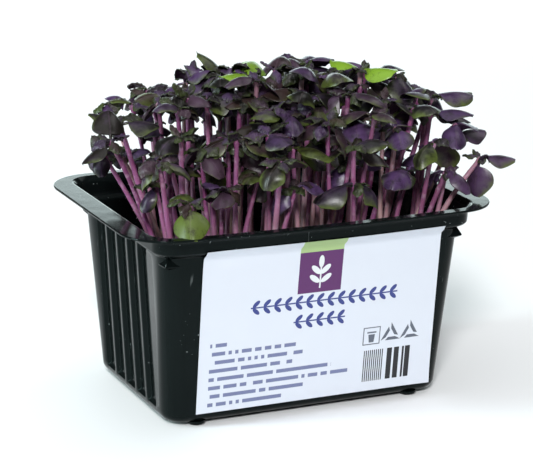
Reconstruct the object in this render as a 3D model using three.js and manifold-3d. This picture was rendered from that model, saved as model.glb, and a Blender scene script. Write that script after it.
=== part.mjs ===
// Purple basil seedlings growing in a black formed plastic tray, with a plain paper label on its long front wall.
// Millimetres, +Z up, +X to the right and -Y towards the front. The origin is under the middle of the tray, on the
// surface that its four feet stand on. Each seedling is a leafy stem; some grow as twins from one root.
import * as THREE from "three";
import { mergeVertices } from "three/addons/utils/BufferGeometryUtils.js";
import Module from "manifold-3d";

const wasm = await Module();
wasm.setup();

// Tray: outer sizes
const RIM_LENGTH = 146;
const RIM_WIDTH = 102.8;
const TRAY_HEIGHT = 74.9;
const SHEET = 0.8; // wall thickness of the formed sheet
const FLANGE_SIDE = 11; // flange width on the short sides
const FLANGE_LONG = 6; // flange width on the long sides
const MOUTH_SLOPE = 2.2; // the flange's inner edge slopes down into the band by this
const FLANGE_CORNER = 18; // outer corner radius of the flange
const BODY_CORNER = 8; // corner radius of the band and walls
const BAND_HEIGHT = 6.4; // stacking band under the flange
const BAND_STEP = 3; // how far the wall steps in below the band
const WALL_BOW = 1.8; // the long walls bow out by this at the rim
const BASE_LENGTH = 111.4; // outer length where the walls meet the base
const BASE_WIDTH = 74.4;
const BASE_FILLET = 4;
const FOOT_HEIGHT = 1.2;
const FOOT_RADIUS = 3.4;
const FOOT_INSET = [12.4, 4]; // of a foot's centre, from the end and from the side of the base

// Tray: five upright flutes pressed into each short wall
const FLUTES = 5;
const FLUTE_PITCH = 10.6;
const FLUTE_RIDGE = 1.9; // ridge left between two flutes
const FLUTE_DEPTH = 1.5;
const FLUTE_SLOPE = 0.8; // width of a flute's side slope

// Stacking lugs round the corners, under the band
const LUG_HEIGHT = 4.8;
const LUG_DEPTH = 2.6;
const LUG_TAIL = [1, 3.5]; // how far its ends run on along the long and the short wall

// Growing medium and label
const SOIL_TOP = 47;
const SOIL_GAP = 0.5;
const HOLE_SIDES = 6;
const HOLE_ROOM = 0.35;
const SOIL_CROWN = 2; // the middle stands higher than the edge by this
const LABEL_LENGTH = 95;
const LABEL_LOW = 6.5;
const LABEL_HIGH = 66;
const LABEL_SHIFT = 2.3; // it is stuck on a little to the right of the middle
const LABEL_THICK = 0.3;
const LABEL_GAP = 0.25;

// Seedlings
const ROOT_DEPTH = 5;
const STEM_SIDES = 4;
const STEM_STEPS = 3;
const KNOB = 1.5; // half width of the growing tip that the blades start from
const BLADE_THICK = 0.7;
const PETIOLE = 0.2; // share of a blade's length that is its stalk
const NODES = 57;
const TWINS = 24;
const SITE_COLUMNS = 9;
const SITE_ROWS = 6;
const SITE_LEFT = -44; // where the middle row of sites starts
const SITE_RIGHT = 50; // where each row of sites ends
const SITE_DEEP = 32; // the outermost rows of sites
const SITE_SKEW = 0.36; // how far the bunch's left side steps in for each mm towards the back
const SMALLEST = 0.74; // size of the leaves at the bunch's left side, against those right of its middle
const TRIES = 60;
const TWIN_TRIES = 160;
const TWIN_SCALE = 0.86; // size of a twin's leaves
const SEED = 31;

const COLOURS = {
  tray: new THREE.MeshStandardMaterial({ color: 0x0d1011, roughness: 0.22 }),
  soil: new THREE.MeshStandardMaterial({ color: 0x2a1c14, roughness: 0.95 }),
  label: new THREE.MeshStandardMaterial({ color: 0xe9edf4, roughness: 0.55 }),
  seedling: new THREE.MeshStandardMaterial({ color: 0x43304a, roughness: 0.6 }),
};

// Helpers that make closed solids
const vec = (x, y, z) => new THREE.Vector3(x, y, z);
const mix = (a, b, share) => a + (b - a) * share;

// A closed solid from a list of points and of triangles.
function solidFrom(points, triangles) {
  const vertProperties = new Float32Array(points.flatMap((p) => [p.x, p.y, p.z]));
  const mesh = new wasm.Mesh({ numProp: 3, vertProperties, triVerts: new Uint32Array(triangles.flat()) });
  return new wasm.Manifold(mesh);
}

// A closed solid from a three.js geometry.
function solidOfGeometry(geometry) {
  const bare = geometry.clone();
  bare.deleteAttribute("normal");
  bare.deleteAttribute("uv");
  const merged = mergeVertices(bare, 1e-4);
  const vertProperties = merged.attributes.position.array;
  return new wasm.Manifold(
    new wasm.Mesh({ numProp: 3, vertProperties, triVerts: new Uint32Array(merged.index.array) }),
  );
}

// A named mesh of a solid.
function meshOf(name, solid, material) {
  const { vertProperties, triVerts } = solid.getMesh();
  const geometry = new THREE.BufferGeometry();
  geometry.setAttribute("position", new THREE.BufferAttribute(vertProperties, 3));
  geometry.setIndex(new THREE.BufferAttribute(triVerts, 1));
  geometry.computeVertexNormals();
  const mesh = new THREE.Mesh(geometry, material);
  mesh.name = name;
  return mesh;
}

// Stacked rings of equally many points, skinned, with a flat cap on the first ring and one on the last.
function skinRings(rings) {
  const count = rings[0].length;
  const triangles = [];
  for (let k = 0; k + 1 < rings.length; k++) {
    for (let i = 0; i < count; i++) {
      const j = (i + 1) % count;
      const [a, b, c, d] = [k * count + i, k * count + j, (k + 1) * count + j, (k + 1) * count + i];
      triangles.push([a, b, c], [a, c, d]);
    }
  }
  const points = rings.flat();
  const capAt = (ring, first, up) => {
    const middle = points.length;
    points.push(vec(0, 0, ring[0].z));
    for (let i = 0; i < count; i++) {
      const j = (i + 1) % count;
      triangles.push(up ? [first + i, first + j, middle] : [first + j, first + i, middle]);
    }
  };
  capAt(rings[0], 0, false);
  capAt(rings.at(-1), (rings.length - 1) * count, true);
  return solidFrom(points, triangles);
}

// The tray
const ARC_STEPS = 3;
const LONG_STEPS = 4;

// Flute edges along a short wall: [place, how deep: 0 at the wall's face and 1 at the flute's floor].
const FLUTE_EDGES = [...Array(FLUTES).keys()].flatMap((k) => {
  const low = (k - FLUTES / 2) * FLUTE_PITCH + FLUTE_RIDGE / 2;
  const high = low + FLUTE_PITCH - FLUTE_RIDGE;
  return [[low, 0], [low + FLUTE_SLOPE, 1], [high - FLUTE_SLOPE, 1], [high, 0]];
});

// One level of the tray's outline: a rounded rectangle whose long sides bow out and whose short sides may be fluted.
function outline(z, halfLength, halfWidth, corner, bow = 0, flute = 0) {
  const ring = [];
  const arc = (cx, cy, from) => {
    for (let k = 0; k <= ARC_STEPS; k++) {
      const angle = from + (k / ARC_STEPS) * (Math.PI / 2);
      ring.push(vec(cx + corner * Math.cos(angle), cy + corner * Math.sin(angle), z));
    }
  };
  const longSide = (side) => {
    const reach = halfLength - corner;
    for (let k = 1; k < LONG_STEPS; k++) {
      const x = side * reach * ((2 * k) / LONG_STEPS - 1);
      ring.push(vec(-x, side * (halfWidth + bow * (1 - (x / reach) ** 2)), z));
    }
  };
  const shortSide = (side) => {
    for (const [place, deep] of FLUTE_EDGES) {
      ring.push(vec(side * (halfLength - deep * flute), side * place, z));
    }
  };
  const [cx, cy] = [halfLength - corner, halfWidth - corner];
  shortSide(1);
  arc(cx, cy, 0);
  longSide(1);
  arc(-cx, cy, Math.PI / 2);
  shortSide(-1);
  arc(-cx, -cy, Math.PI);
  longSide(-1);
  arc(cx, -cy, -Math.PI / 2);
  return ring;
}

const BAND_LOW = TRAY_HEIGHT - SHEET - BAND_HEIGHT;
const WALL_LOW = FOOT_HEIGHT + BASE_FILLET;
const WALL_HIGH = BAND_LOW - 1.6;
const BAND_HALF = [RIM_LENGTH / 2 - FLANGE_SIDE + SHEET, RIM_WIDTH / 2 - FLANGE_LONG + SHEET];

// Outer half length and half width of the tapered wall at a height.
function wallHalf(z) {
  const share = (z - WALL_LOW) / (WALL_HIGH - WALL_LOW);
  return [
    mix(BASE_LENGTH / 2, BAND_HALF[0] - BAND_STEP, share),
    mix(BASE_WIDTH / 2, BAND_HALF[1] - BAND_STEP, share),
  ];
}

// How far out a long wall's bow reaches at a height.
const bowAt = (z) => WALL_BOW * Math.max(0, (z - WALL_LOW) / (TRAY_HEIGHT - WALL_LOW)) ** 1.5;

// The tray's outline levels from base to flange, at the outer face or, with inset, at the inner one.
function wallRings(inset) {
  const level = (z, lift, out, corner, flute = 0) => {
    const [halfLength, halfWidth] = wallHalf(Math.max(z, WALL_LOW));
    return outline(
      z + lift,
      halfLength + out - inset,
      halfWidth + out - inset,
      Math.max(corner - inset, 1),
      bowAt(z),
      flute,
    );
  };
  const bent = BASE_FILLET * 0.3;
  const band = (z, less) =>
    outline(z + inset * 0.4, BAND_HALF[0] - less - inset, BAND_HALF[1] - less - inset, BODY_CORNER, bowAt(z));
  return [
    level(FOOT_HEIGHT, inset, -BASE_FILLET, BODY_CORNER - BASE_FILLET),
    level(FOOT_HEIGHT + bent, inset * 0.7, -bent, BODY_CORNER - bent),
    level(WALL_LOW, 0, 0, BODY_CORNER),
    level(WALL_LOW + FLUTE_DEPTH, 0, 0, BODY_CORNER, FLUTE_DEPTH),
    level(WALL_HIGH - 2 * FLUTE_DEPTH, 0, 0, BODY_CORNER, FLUTE_DEPTH),
    level(WALL_HIGH, 0, 0, BODY_CORNER),
    band(BAND_LOW - 0.4, 0.8),
    band(BAND_LOW + 0.4, 0.2),
  ];
}

// A foot: a low round stud under the base.
function foot(x, y) {
  const stud = new THREE.CylinderGeometry(FOOT_RADIUS, FOOT_RADIUS * 0.7, FOOT_HEIGHT + SHEET / 2, 10);
  stud.rotateX(Math.PI / 2);
  return solidOfGeometry(stud.translate(x, y, (FOOT_HEIGHT + SHEET / 2) / 2));
}

// A stacking lug: a low pyramid round a corner, with its point up under the band and a flat underside.
function lug(sideX, sideY) {
  const high = WALL_HIGH + 0.4;
  const low = high - LUG_HEIGHT;
  const corner = (z, out) => {
    const [halfX, halfY] = wallHalf(z);
    const reach = (BODY_CORNER + out) * Math.SQRT1_2;
    return vec(sideX * (halfX - BODY_CORNER + reach), sideY * (halfY - BODY_CORNER + reach), z);
  };
  const [halfX, halfY] = wallHalf(low);
  const [tailLong, tailShort] = LUG_TAIL;
  const points = [
    corner(high, 0.1),
    corner(low, LUG_DEPTH),
    vec(sideX * (halfX - BODY_CORNER - tailLong), sideY * (halfY + 0.1), low),
    vec(sideX * (halfX + 0.1), sideY * (halfY - BODY_CORNER - tailShort), low),
    vec(sideX * (halfX - BODY_CORNER), sideY * (halfY - BODY_CORNER), low),
    vec(sideX * (halfX - BODY_CORNER), sideY * (halfY - BODY_CORNER), high),
  ];
  return wasm.Manifold.hull(points.map((p) => [p.x, p.y, p.z]));
}

// The tray: a thin formed shell with a flat flange, a stacking band, fluted ends, four lugs and four feet.
function tray() {
  const under = TRAY_HEIGHT - SHEET;
  const [rimX, rimY] = [RIM_LENGTH / 2, RIM_WIDTH / 2];
  const [mouthX, mouthY] = [rimX - FLANGE_SIDE, rimY - FLANGE_LONG];
  const slope = MOUTH_SLOPE - 0.4 * SHEET;
  const outer = skinRings([
    ...wallRings(0),
    outline(under - slope, BAND_HALF[0], BAND_HALF[1], BODY_CORNER, WALL_BOW),
    outline(under, BAND_HALF[0] + slope, BAND_HALF[1] + slope, BODY_CORNER + slope, WALL_BOW),
    outline(under, rimX, rimY, FLANGE_CORNER, WALL_BOW),
    outline(TRAY_HEIGHT, rimX, rimY, FLANGE_CORNER, WALL_BOW),
  ]);
  const cavity = skinRings([
    ...wallRings(SHEET),
    outline(TRAY_HEIGHT - MOUTH_SLOPE, mouthX, mouthY, BODY_CORNER - SHEET, WALL_BOW),
    outline(TRAY_HEIGHT, mouthX + MOUTH_SLOPE, mouthY + MOUTH_SLOPE, BODY_CORNER + slope, WALL_BOW),
    outline(TRAY_HEIGHT + 2, mouthX + MOUTH_SLOPE, mouthY + MOUTH_SLOPE, BODY_CORNER + slope, WALL_BOW),
  ]);
  const corners = [[1, 1], [-1, 1], [-1, -1], [1, -1]];
  const feet = corners.map(([sx, sy]) =>
    foot(sx * (BASE_LENGTH / 2 - FOOT_INSET[0]), sy * (BASE_WIDTH / 2 - FOOT_INSET[1])),
  );
  const lugs = corners.map(([sx, sy]) => lug(sx, sy));
  let body = outer;
  for (const piece of [...feet, ...lugs]) body = body.add(piece);
  return body.subtract(cavity);
}

// The growing medium
const innerHalf = (z) => wallHalf(z).map((half, axis) => half - SHEET - (axis ? 0 : FLUTE_DEPTH));

// The growing medium fills the tray to SOIL_TOP, with a plain hole for each root.
function soil(roots) {
  const bottom = FOOT_HEIGHT + SHEET + SOIL_GAP;
  const level = (z, less) => {
    const [halfLength, halfWidth] = innerHalf(Math.max(z, WALL_LOW)).map((half) => half - SOIL_GAP - less);
    return outline(z, halfLength, halfWidth, BODY_CORNER - SHEET - less * 0.5, bowAt(z) * 0.9);
  };
  let block = skinRings([
    level(bottom, BASE_FILLET * 0.9),
    level(WALL_LOW + 1, 0),
    level(SOIL_TOP - SOIL_CROWN, 0),
    level(SOIL_TOP, 9),
  ].map((ring) => ring.filter((_, i) => keepForSoil(i))));
  for (const { x, y, wide } of roots) {
    const hole = new THREE.CylinderGeometry(wide, wide, (ROOT_DEPTH + SOIL_GAP) * 2, HOLE_SIDES).rotateX(Math.PI / 2);
    block = block.subtract(solidOfGeometry(hole.translate(x, y, SOIL_TOP)));
  }
  return block;
}

// The medium's sides are plain, so it leaves out the outline's points along the flutes.
function keepForSoil(index) {
  const side = FLUTE_EDGES.length;
  const half = side + (ARC_STEPS + 1) * 2 + LONG_STEPS - 1;
  return index % half >= side;
}

// The label
// Distance of a long wall's outer face from the middle. The face is flat between its upright folds.
function longWall(x, z) {
  const [halfLength, halfWidth] = wallHalf(z);
  const reach = halfLength - BODY_CORNER;
  const place = Math.min(LONG_STEPS, Math.max(0, ((x / reach + 1) * LONG_STEPS) / 2));
  const fold = Math.min(LONG_STEPS - 1, Math.floor(place));
  const bulge = (k) => bowAt(z) * (1 - ((2 * k) / LONG_STEPS - 1) ** 2);
  return halfWidth + mix(bulge(fold), bulge(fold + 1), place - fold);
}

// The label: a thin sheet that follows the front wall.
function label() {
  const columns = LONG_STEPS * 2;
  const at = (column, z, off) => {
    const x = LABEL_SHIFT + LABEL_LENGTH * (column / columns - 0.5);
    return vec(x, -longWall(x, z) - off, z);
  };
  const points = [];
  const near = LABEL_GAP + 0.1;
  for (let k = 0; k <= columns; k++) {
    points.push(
      at(k, LABEL_LOW, near + LABEL_THICK),
      at(k, LABEL_LOW, near),
      at(k, LABEL_HIGH, near),
      at(k, LABEL_HIGH, near + LABEL_THICK),
    );
  }
  const triangles = [[0, 2, 1], [0, 3, 2]];
  const last = columns * 4;
  triangles.push([last, last + 1, last + 2], [last, last + 2, last + 3]);
  for (let k = 0; k < columns; k++) {
    for (let i = 0; i < 4; i++) {
      const [a, b] = [k * 4 + i, k * 4 + ((i + 1) % 4)];
      triangles.push([a, b, b + 4], [a, b + 4, a + 4]);
    }
  }
  return solidFrom(points, triangles);
}

// Seedlings: where they grow and how they are posed
// A repeatable draw from 0 to 1.
let drawState = SEED;
function draw() {
  drawState = (Math.imul(drawState, 1664525) + 1013904223) >>> 0;
  return drawState / 4294967296;
}
const between = (low, high) => low + (high - low) * draw();

// A blade: heading and pitch in radians, lengths in millimetres. pitch is at its foot, and arch is how far it bends
// down to its tip; fold and cup lower its margins.
const blade = (kind, heading, pitch, arch, roll, fold, cup, length, half) => ({
  kind,
  heading,
  pitch,
  arch,
  roll,
  fold,
  cup,
  length,
  half,
});

// A point on a stem's axis, from 0 at its root to 1 at its tip.
function stemPoint(plant, t) {
  const [x0, y0, x1, y1, z1] = [...plant.root, ...plant.tip];
  const z0 = SOIL_TOP - ROOT_DEPTH;
  const [cx, cy, cz] = [mix(x0, x1, plant.bend), mix(y0, y1, plant.bend), mix(z0, z1, 0.5)];
  const [a, b, c] = [(1 - t) * (1 - t), 2 * t * (1 - t), t * t];
  return vec(a * x0 + b * cx + c * x1, a * y0 + b * cy + c * y1, a * z0 + b * cz + c * z1);
}

// Half width of a blade at a share of its length: a short stalk, then a broad round seed leaf or a narrower true leaf.
function bladeHalf(leaf, u) {
  const stalk = 0.6;
  if (u <= PETIOLE) return stalk;
  const s = (u - PETIOLE) / (1 - PETIOLE);
  const power = leaf.kind === "seed" ? 0.72 : 0.8;
  const round = leaf.kind === "seed" ? 0.5 : 0.75;
  return Math.max(stalk * (1 - s), leaf.half * Math.sin(Math.PI * Math.min(s, 0.9999) ** power) ** round);
}

// A point on a blade, from its foot (u 0) to its tip (u 1) and from one margin (v -1) to the other (v 1).
function bladePoint(plant, leaf, u, v, lift = 0) {
  const pitch = leaf.pitch - leaf.arch * u;
  const along = (leaf.length / leaf.arch) * (Math.sin(leaf.pitch) - Math.sin(pitch));
  const rise = (leaf.length / leaf.arch) * (Math.cos(pitch) - Math.cos(leaf.pitch));
  const [ch, sh] = [Math.cos(leaf.heading), Math.sin(leaf.heading)];
  const [cr, sr] = [Math.cos(leaf.roll), Math.sin(leaf.roll)];
  // the blade's own axes: across, and out of its upper face
  const [nx, nz] = [-Math.sin(pitch), Math.cos(pitch)];
  const across = [-sh * cr + ch * nx * sr, ch * cr + sh * nx * sr, nz * sr];
  const out = [ch * nx * cr + sh * sr, sh * nx * cr - ch * sr, nz * cr];
  const half = bladeHalf(leaf, u);
  const side = (v * half) / Math.sqrt(1 + leaf.fold * leaf.fold);
  const drop = leaf.fold * Math.abs(side) + (leaf.cup * side * side) / leaf.half - lift;
  return vec(
    plant.tip[0] + ch * along + across[0] * side - out[0] * drop,
    plant.tip[1] + sh * along + across[1] * side - out[1] * drop,
    plant.tip[2] + rise + across[2] * side - out[2] * drop,
  );
}

// Points spread over a seedling, each with the room it needs, for keeping seedlings clear of each other.
const LEAF_ROOM = 0.95;
const STEM_ROOM = 1.25;
const STEM_SPACING = 1.8;
const SEED_US = [0.25, 0.38, 0.5, 0.62, 0.75, 0.87, 1];
const SEED_VS = [-1, -0.67, -0.33, 0, 0.33, 0.67, 1];
const TRUE_US = [0.3, 0.53, 0.77, 1];
const TRUE_VS = [-1, 0, 1];
function feelers(plant) {
  const found = [];
  const high = plant.tip[2] - SOIL_TOP + ROOT_DEPTH;
  const steps = Math.ceil(high / STEM_SPACING);
  for (let k = 0; k <= steps; k++) found.push([stemPoint(plant, k / steps), STEM_ROOM]);
  for (const leaf of plant.leaves) {
    const [us, vs] = leaf.kind === "seed" ? [SEED_US, SEED_VS] : [TRUE_US, TRUE_VS];
    for (const u of us) for (const v of vs) found.push([bladePoint(plant, leaf, u, v), LEAF_ROOM]);
  }
  return found;
}

const LIMIT_X = 79;
const LEFT_REACH = 73.5; // how far left the bunch may reach at the tray's middle
const LIMIT_Y = 51;
const WALL_ROOM = 1.6;
const RIM_ROOM = 1.8;

// True if a seedling stays off the tray, off the medium and inside the part's reach.
function clearOfTray(points) {
  return points.every(([p]) => {
    if (Math.abs(p.x) > LIMIT_X || Math.abs(p.y) > LIMIT_Y) return false;
    if (p.x - SITE_SKEW * p.y < -LEFT_REACH) return false;
    if (p.z > TRAY_HEIGHT + RIM_ROOM) return true;
    const [halfLength, halfWidth] = innerHalf(Math.max(p.z, WALL_LOW));
    return Math.abs(p.x) < halfLength - WALL_ROOM && Math.abs(p.y) < halfWidth - WALL_ROOM;
  });
}

const leavesClearOfSoil = (plant, points) => points.every(([p, room]) => room === STEM_ROOM || p.z > SOIL_TOP + 4);

const boxOf = (points) => new THREE.Box3().setFromPoints(points.map(([p]) => p)).expandByScalar(2 * STEM_ROOM);

// True if no point of one seedling comes too near to a point of another. Twins may touch below a height.
function clearOf(points, others, from = -Infinity) {
  const box = boxOf(points);
  if (!box.intersectsBox(boxOf(others))) return true;
  for (const [q, roomQ] of others) {
    if (q.z < from || !box.containsPoint(q)) continue;
    for (const [p, roomP] of points) {
      if (p.z < from) continue;
      const room = roomP + roomQ;
      const [dx, dy, dz] = [p.x - q.x, p.y - q.y, p.z - q.z];
      if (dx * dx + dy * dy + dz * dz < room * room) return false;
    }
  }
  return true;
}

const LOWEST_TIP = 86;
const clamp01 = (value) => Math.max(0, Math.min(1, value));

// Height of the bunch's top over the tray: highest right of the middle, lower at the ends and along the front.
function canopy(x, y) {
  const ends = ((x - 14) / 62) ** 2;
  const front = clamp01((-y - 2) / 34);
  return 122 - 8 * ends - 15 * front - 0.2 * Math.max(0, y);
}

// One drawn seedling at a root. Its stem leans outwards and its two seed leaves open to either side. spread is how
// far its tip may stray and scale is the size of its seed leaves.
function drawPlant(x, y, spread, scale) {
  const root = [x, y];
  const tipX = x * 1.2 + spread * between(-8, 8);
  const tipY = y * 1.13 + spread * between(-6, 6);
  const short = draw();
  const tipZ = Math.max(LOWEST_TIP, canopy(tipX, tipY) - 30 * short ** 1.6);
  const heading = between(0, 2 * Math.PI);
  const open = between(-0.5, 0.5);
  const leafSize = scale * mix(SMALLEST, 1, clamp01((tipX + 60) / 60));
  const leaves = [];
  for (let k = 0; k < 2; k++) {
    const turn = heading + k * Math.PI + between(-0.35, 0.35);
    const pitch = open * (k ? -0.6 : 1) + between(-0.1, 0.8);
    const arch = between(0.8, 2.1);
    const roll = between(-0.45, 0.45);
    const fold = between(0.12, 0.4);
    const cup = between(0.28, 0.5);
    const [length, half] = [leafSize * between(12.5, 17), leafSize * between(5, 7.2)];
    leaves.push(blade("seed", turn, pitch, arch, roll, fold, cup, length, half));
  }
  const grown = draw() - Math.max(0, (tipX + 10) / 120);
  const size = 5 + 6 * Math.max(0, grown) ** 2;
  for (let k = 0; k < 2 && grown > 0.25; k++) {
    const turn = heading + (k + 0.5) * Math.PI + between(-0.3, 0.3);
    const pitch = between(0.5, 1.3);
    leaves.push(blade("true", turn, pitch, between(0.6, 2), between(-0.3, 0.3), 0.45, 0.3, size, size * 0.27));
  }
  return { root, tip: [tipX, tipY, tipZ], bend: between(0.25, 0.55), leaves, radius: between(0.95, 1.2) };
}

// Seedlings at the edge of the bunch that lean out over the rim, posed by hand: root x, y; tip x, y, z; how straight;
// then heading and pitch in degrees, and length, for each of the two seed leaves.
const LEANING = [
  [-46, -14, -69.3, -16, 103, 0.3, [[185, -8, 12], [75, 62, 13]]],
  [-44, -4, -61, -3, 106, 0.35, [[150, 40, 11], [-20, 20, 13]]],
  [46, -30, 69, -37, 90, 0.2, [[-28, 22, 12], [215, -55, 13]]],
  [43, -22, 63.5, -25, 95, 0.35, [[10, 30, 14], [160, 10, 12]]],
  [40, -12, 60, -14, 109, 0.45, [[-12, 24, 15], [190, 35, 13]]],
  [-38, -30, -49, -40, 84, 0.4, [[250, -18, 14], [80, 25, 12]]],
  [30, -4, 36, -2, 118.5, 0.5, [[-60, 28, 14], [110, 30, 13]]],
  [-4, 6, -6, 8, 117.5, 0.5, [[60, 34, 14], [205, 30, 13]]],
];
const degrees = Math.PI / 180;

// A hand-posed seedling.
function leaningPlant([x, y, tipX, tipY, tipZ, bend, seedLeaves]) {
  const leaves = seedLeaves.map(([heading, pitch, length]) =>
    blade("seed", heading * degrees, pitch * degrees, 0.8, 0.15, 0.25, 0.3, length, length * 0.47),
  );
  const between2 = (seedLeaves[0][0] + seedLeaves[1][0]) / 2;
  for (const turn of [between2, between2 + 180]) {
    leaves.push(blade("true", turn * degrees, 0.9, 1, 0.1, 0.45, 0.3, 6, 1.7));
  }
  return { root: [x, y], tip: [tipX, tipY, tipZ], bend, leaves, radius: 1.1 };
}

// Every root with its one or two seedlings. Sites lie on a shaken grid, and each pose is drawn again until it is clear.
function growBunch() {
  const roots = [];
  const placed = [];
  const accept = (plant, points, group) => {
    group.push(plant);
    placed.push({ plant, points });
  };
  const fits = (plant, points) =>
    clearOfTray(points) && leavesClearOfSoil(plant, points) && placed.every((other) => clearOf(points, other.points));
  for (const posed of LEANING) {
    const plant = leaningPlant(posed);
    const group = [];
    accept(plant, feelers(plant), group);
    roots.push(group);
  }
  for (let row = 0; row < SITE_ROWS; row++) {
    for (let column = 0; column < SITE_COLUMNS; column++) {
      const stagger = row % 2 ? 0.25 : -0.25;
      const share = (column + 0.5 + stagger) / SITE_COLUMNS;
      const siteY = SITE_DEEP * ((2 * row) / (SITE_ROWS - 1) - 1);
      const siteX = mix(Math.max(SITE_LEFT + SITE_SKEW * siteY, -SITE_RIGHT), SITE_RIGHT, share);
      for (let k = 0; k < TRIES && roots.length < NODES; k++) {
        const plant = drawPlant(siteX + between(-3.5, 3.5), siteY + between(-3, 3), 1, 1);
        const points = feelers(plant);
        if (fits(plant, points)) {
          const group = [];
          accept(plant, points, group);
          roots.push(group);
          break;
        }
      }
    }
  }
  let twins = 0;
  for (const group of roots.slice(LEANING.length)) {
    if (twins >= TWINS) break;
    const first = group[0];
    const side = between(0, 2 * Math.PI);
    const apart = first.radius * 1.15;
    const [x, y] = [first.root[0] + apart * Math.cos(side), first.root[1] + apart * Math.sin(side)];
    for (let k = 0; k < TWIN_TRIES; k++) {
      const plant = drawPlant(x, y, 2, TWIN_SCALE);
      const points = feelers(plant);
      const sibling = placed.find((other) => other.plant === first);
      const others = placed.filter((other) => other !== sibling);
      const free = clearOfTray(points) && leavesClearOfSoil(plant, points);
      const parted = clearOf(points, sibling.points, SOIL_TOP + 27);
      if (free && parted && others.every((other) => clearOf(points, other.points))) {
        accept(plant, points, group);
        twins++;
        break;
      }
    }
  }
  return roots;
}

// Seedlings: their solids
// The stem: a slim square stalk with a small knob at its tip, which the blades start in.
function stem(plant) {
  const points = [];
  const triangles = [];
  const addRing = (middle, ahead, radius) => {
    const sideways = vec(0, 1, 0).cross(ahead).normalize();
    const upright = ahead.clone().cross(sideways);
    for (let i = 0; i < STEM_SIDES; i++) {
      const angle = (i / STEM_SIDES) * 2 * Math.PI;
      const point = middle.clone().addScaledVector(sideways, radius * Math.cos(angle));
      points.push(point.addScaledVector(upright, radius * Math.sin(angle)));
    }
  };
  for (let k = 0; k <= STEM_STEPS; k++) {
    const t = (k / STEM_STEPS) * 0.97;
    const ahead = stemPoint(plant, t + 0.02).sub(stemPoint(plant, t)).normalize();
    addRing(stemPoint(plant, t), ahead, plant.radius * mix(1, 0.85, t));
  }
  const ahead = stemPoint(plant, 1).sub(stemPoint(plant, 0.97)).normalize();
  addRing(stemPoint(plant, 1), ahead, KNOB);
  addRing(stemPoint(plant, 1).addScaledVector(ahead, KNOB), ahead, KNOB * 0.6);
  const last = STEM_STEPS + 2;
  for (let k = 0; k < last; k++) {
    for (let i = 0; i < STEM_SIDES; i++) {
      const [low, high, j] = [k * STEM_SIDES, (k + 1) * STEM_SIDES, (i + 1) % STEM_SIDES];
      triangles.push([low + i, low + j, high + j], [low + i, high + j, high + i]);
    }
  }
  const top = last * STEM_SIDES;
  for (let i = 1; i + 1 < STEM_SIDES; i++) {
    triangles.push([0, i + 1, i], [top, top + i, top + i + 1]);
  }
  return solidFrom(points, triangles);
}

// Places round a blade's margin as [u, v], from its foot round its tip, and along its midrib.
const MARGINS = {
  seed: [[0, 0], [0.28, 1], [0.58, 1], [0.88, 1], [1, 0], [0.88, -1], [0.58, -1], [0.28, -1]],
  true: [[0, 0], [0.34, 1], [0.68, 1], [1, 0], [0.68, -1], [0.34, -1]],
};
const MIDRIBS = { seed: [0.36, 0.74], true: [0.5] };

// A blade: a thin lens whose two faces are split alike. Its foot is sunk into the stem's tip.
function bladeSolid(plant, leaf) {
  const margin = MARGINS[leaf.kind].map(([u, v]) => bladePoint(plant, leaf, u, v));
  const ribs = MIDRIBS[leaf.kind];
  const face = (lift) => ribs.map((u) => bladePoint(plant, leaf, u, 0, lift));
  const count = margin.length;
  const points = [...margin, ...face(BLADE_THICK / 2), ...face(-BLADE_THICK / 2)];
  const triangles = [];
  const addFace = (first, up) => {
    const add = (a, b, c) => triangles.push(up ? [a, b, c] : [a, c, b]);
    const near = (i) => first + (ribs.length > 1 && i >= 3 && i <= count - 3 ? 1 : 0);
    for (let i = 0; i < count; i++) {
      const j = (i + 1) % count;
      if (near(i) === near(j)) {
        add(near(i), i, j);
      } else {
        add(near(j), i, j);
        add(near(j), near(i), i);
      }
    }
  };
  addFace(count, true);
  addFace(count + ribs.length, false);
  const made = solidFrom(points, triangles);
  return made.volume() < 0 ? solidFrom(points, triangles.map(([a, b, c]) => [a, c, b])) : made;
}

// All the seedlings of one root, joined.
function leafyStem(group) {
  const pieces = group.flatMap((plant) => [stem(plant), ...plant.leaves.map((leaf) => bladeSolid(plant, leaf))]);
  return wasm.Manifold.union(pieces).simplify(0.14);
}

// Assembly
// The hole that takes a root's one or two stems: its middle and its size.
function holeFor(group) {
  const axis = group.flatMap((plant) => {
    const atSoil = ROOT_DEPTH / (plant.tip[2] - SOIL_TOP + ROOT_DEPTH);
    return [stemPoint(plant, 0).setZ(0), stemPoint(plant, atSoil).setZ(0)];
  });
  const middle = vec(0, 0, 0);
  for (const point of axis) middle.addScaledVector(point, 1 / axis.length);
  const reach = Math.max(...axis.map((point) => point.distanceTo(middle)));
  const thick = Math.max(...group.map((plant) => plant.radius));
  return { x: middle.x, y: middle.y, wide: (reach + thick + HOLE_ROOM) / Math.cos(Math.PI / HOLE_SIDES) };
}

const roots = growBunch();

const bunch = new THREE.Group();
bunch.add(meshOf("tray", tray(), COLOURS.tray));
bunch.add(meshOf("growing_medium", soil(roots.map(holeFor)), COLOURS.soil));
bunch.add(meshOf("label", label(), COLOURS.label));
roots.forEach((group, k) => {
  bunch.add(meshOf(`seedling_${String(k + 1).padStart(2, "0")}`, leafyStem(group), COLOURS.seedling));
});

export default bunch;
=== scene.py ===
"""Purple basil seedlings in a black formed tray with a plain label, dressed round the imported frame."""

import logging
import math
from dataclasses import dataclass, field, replace
from enum import Enum
from typing import Any, Iterable, Sequence

import bmesh
import bpy
import numpy as np
from mathutils import Matrix, Vector


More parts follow.
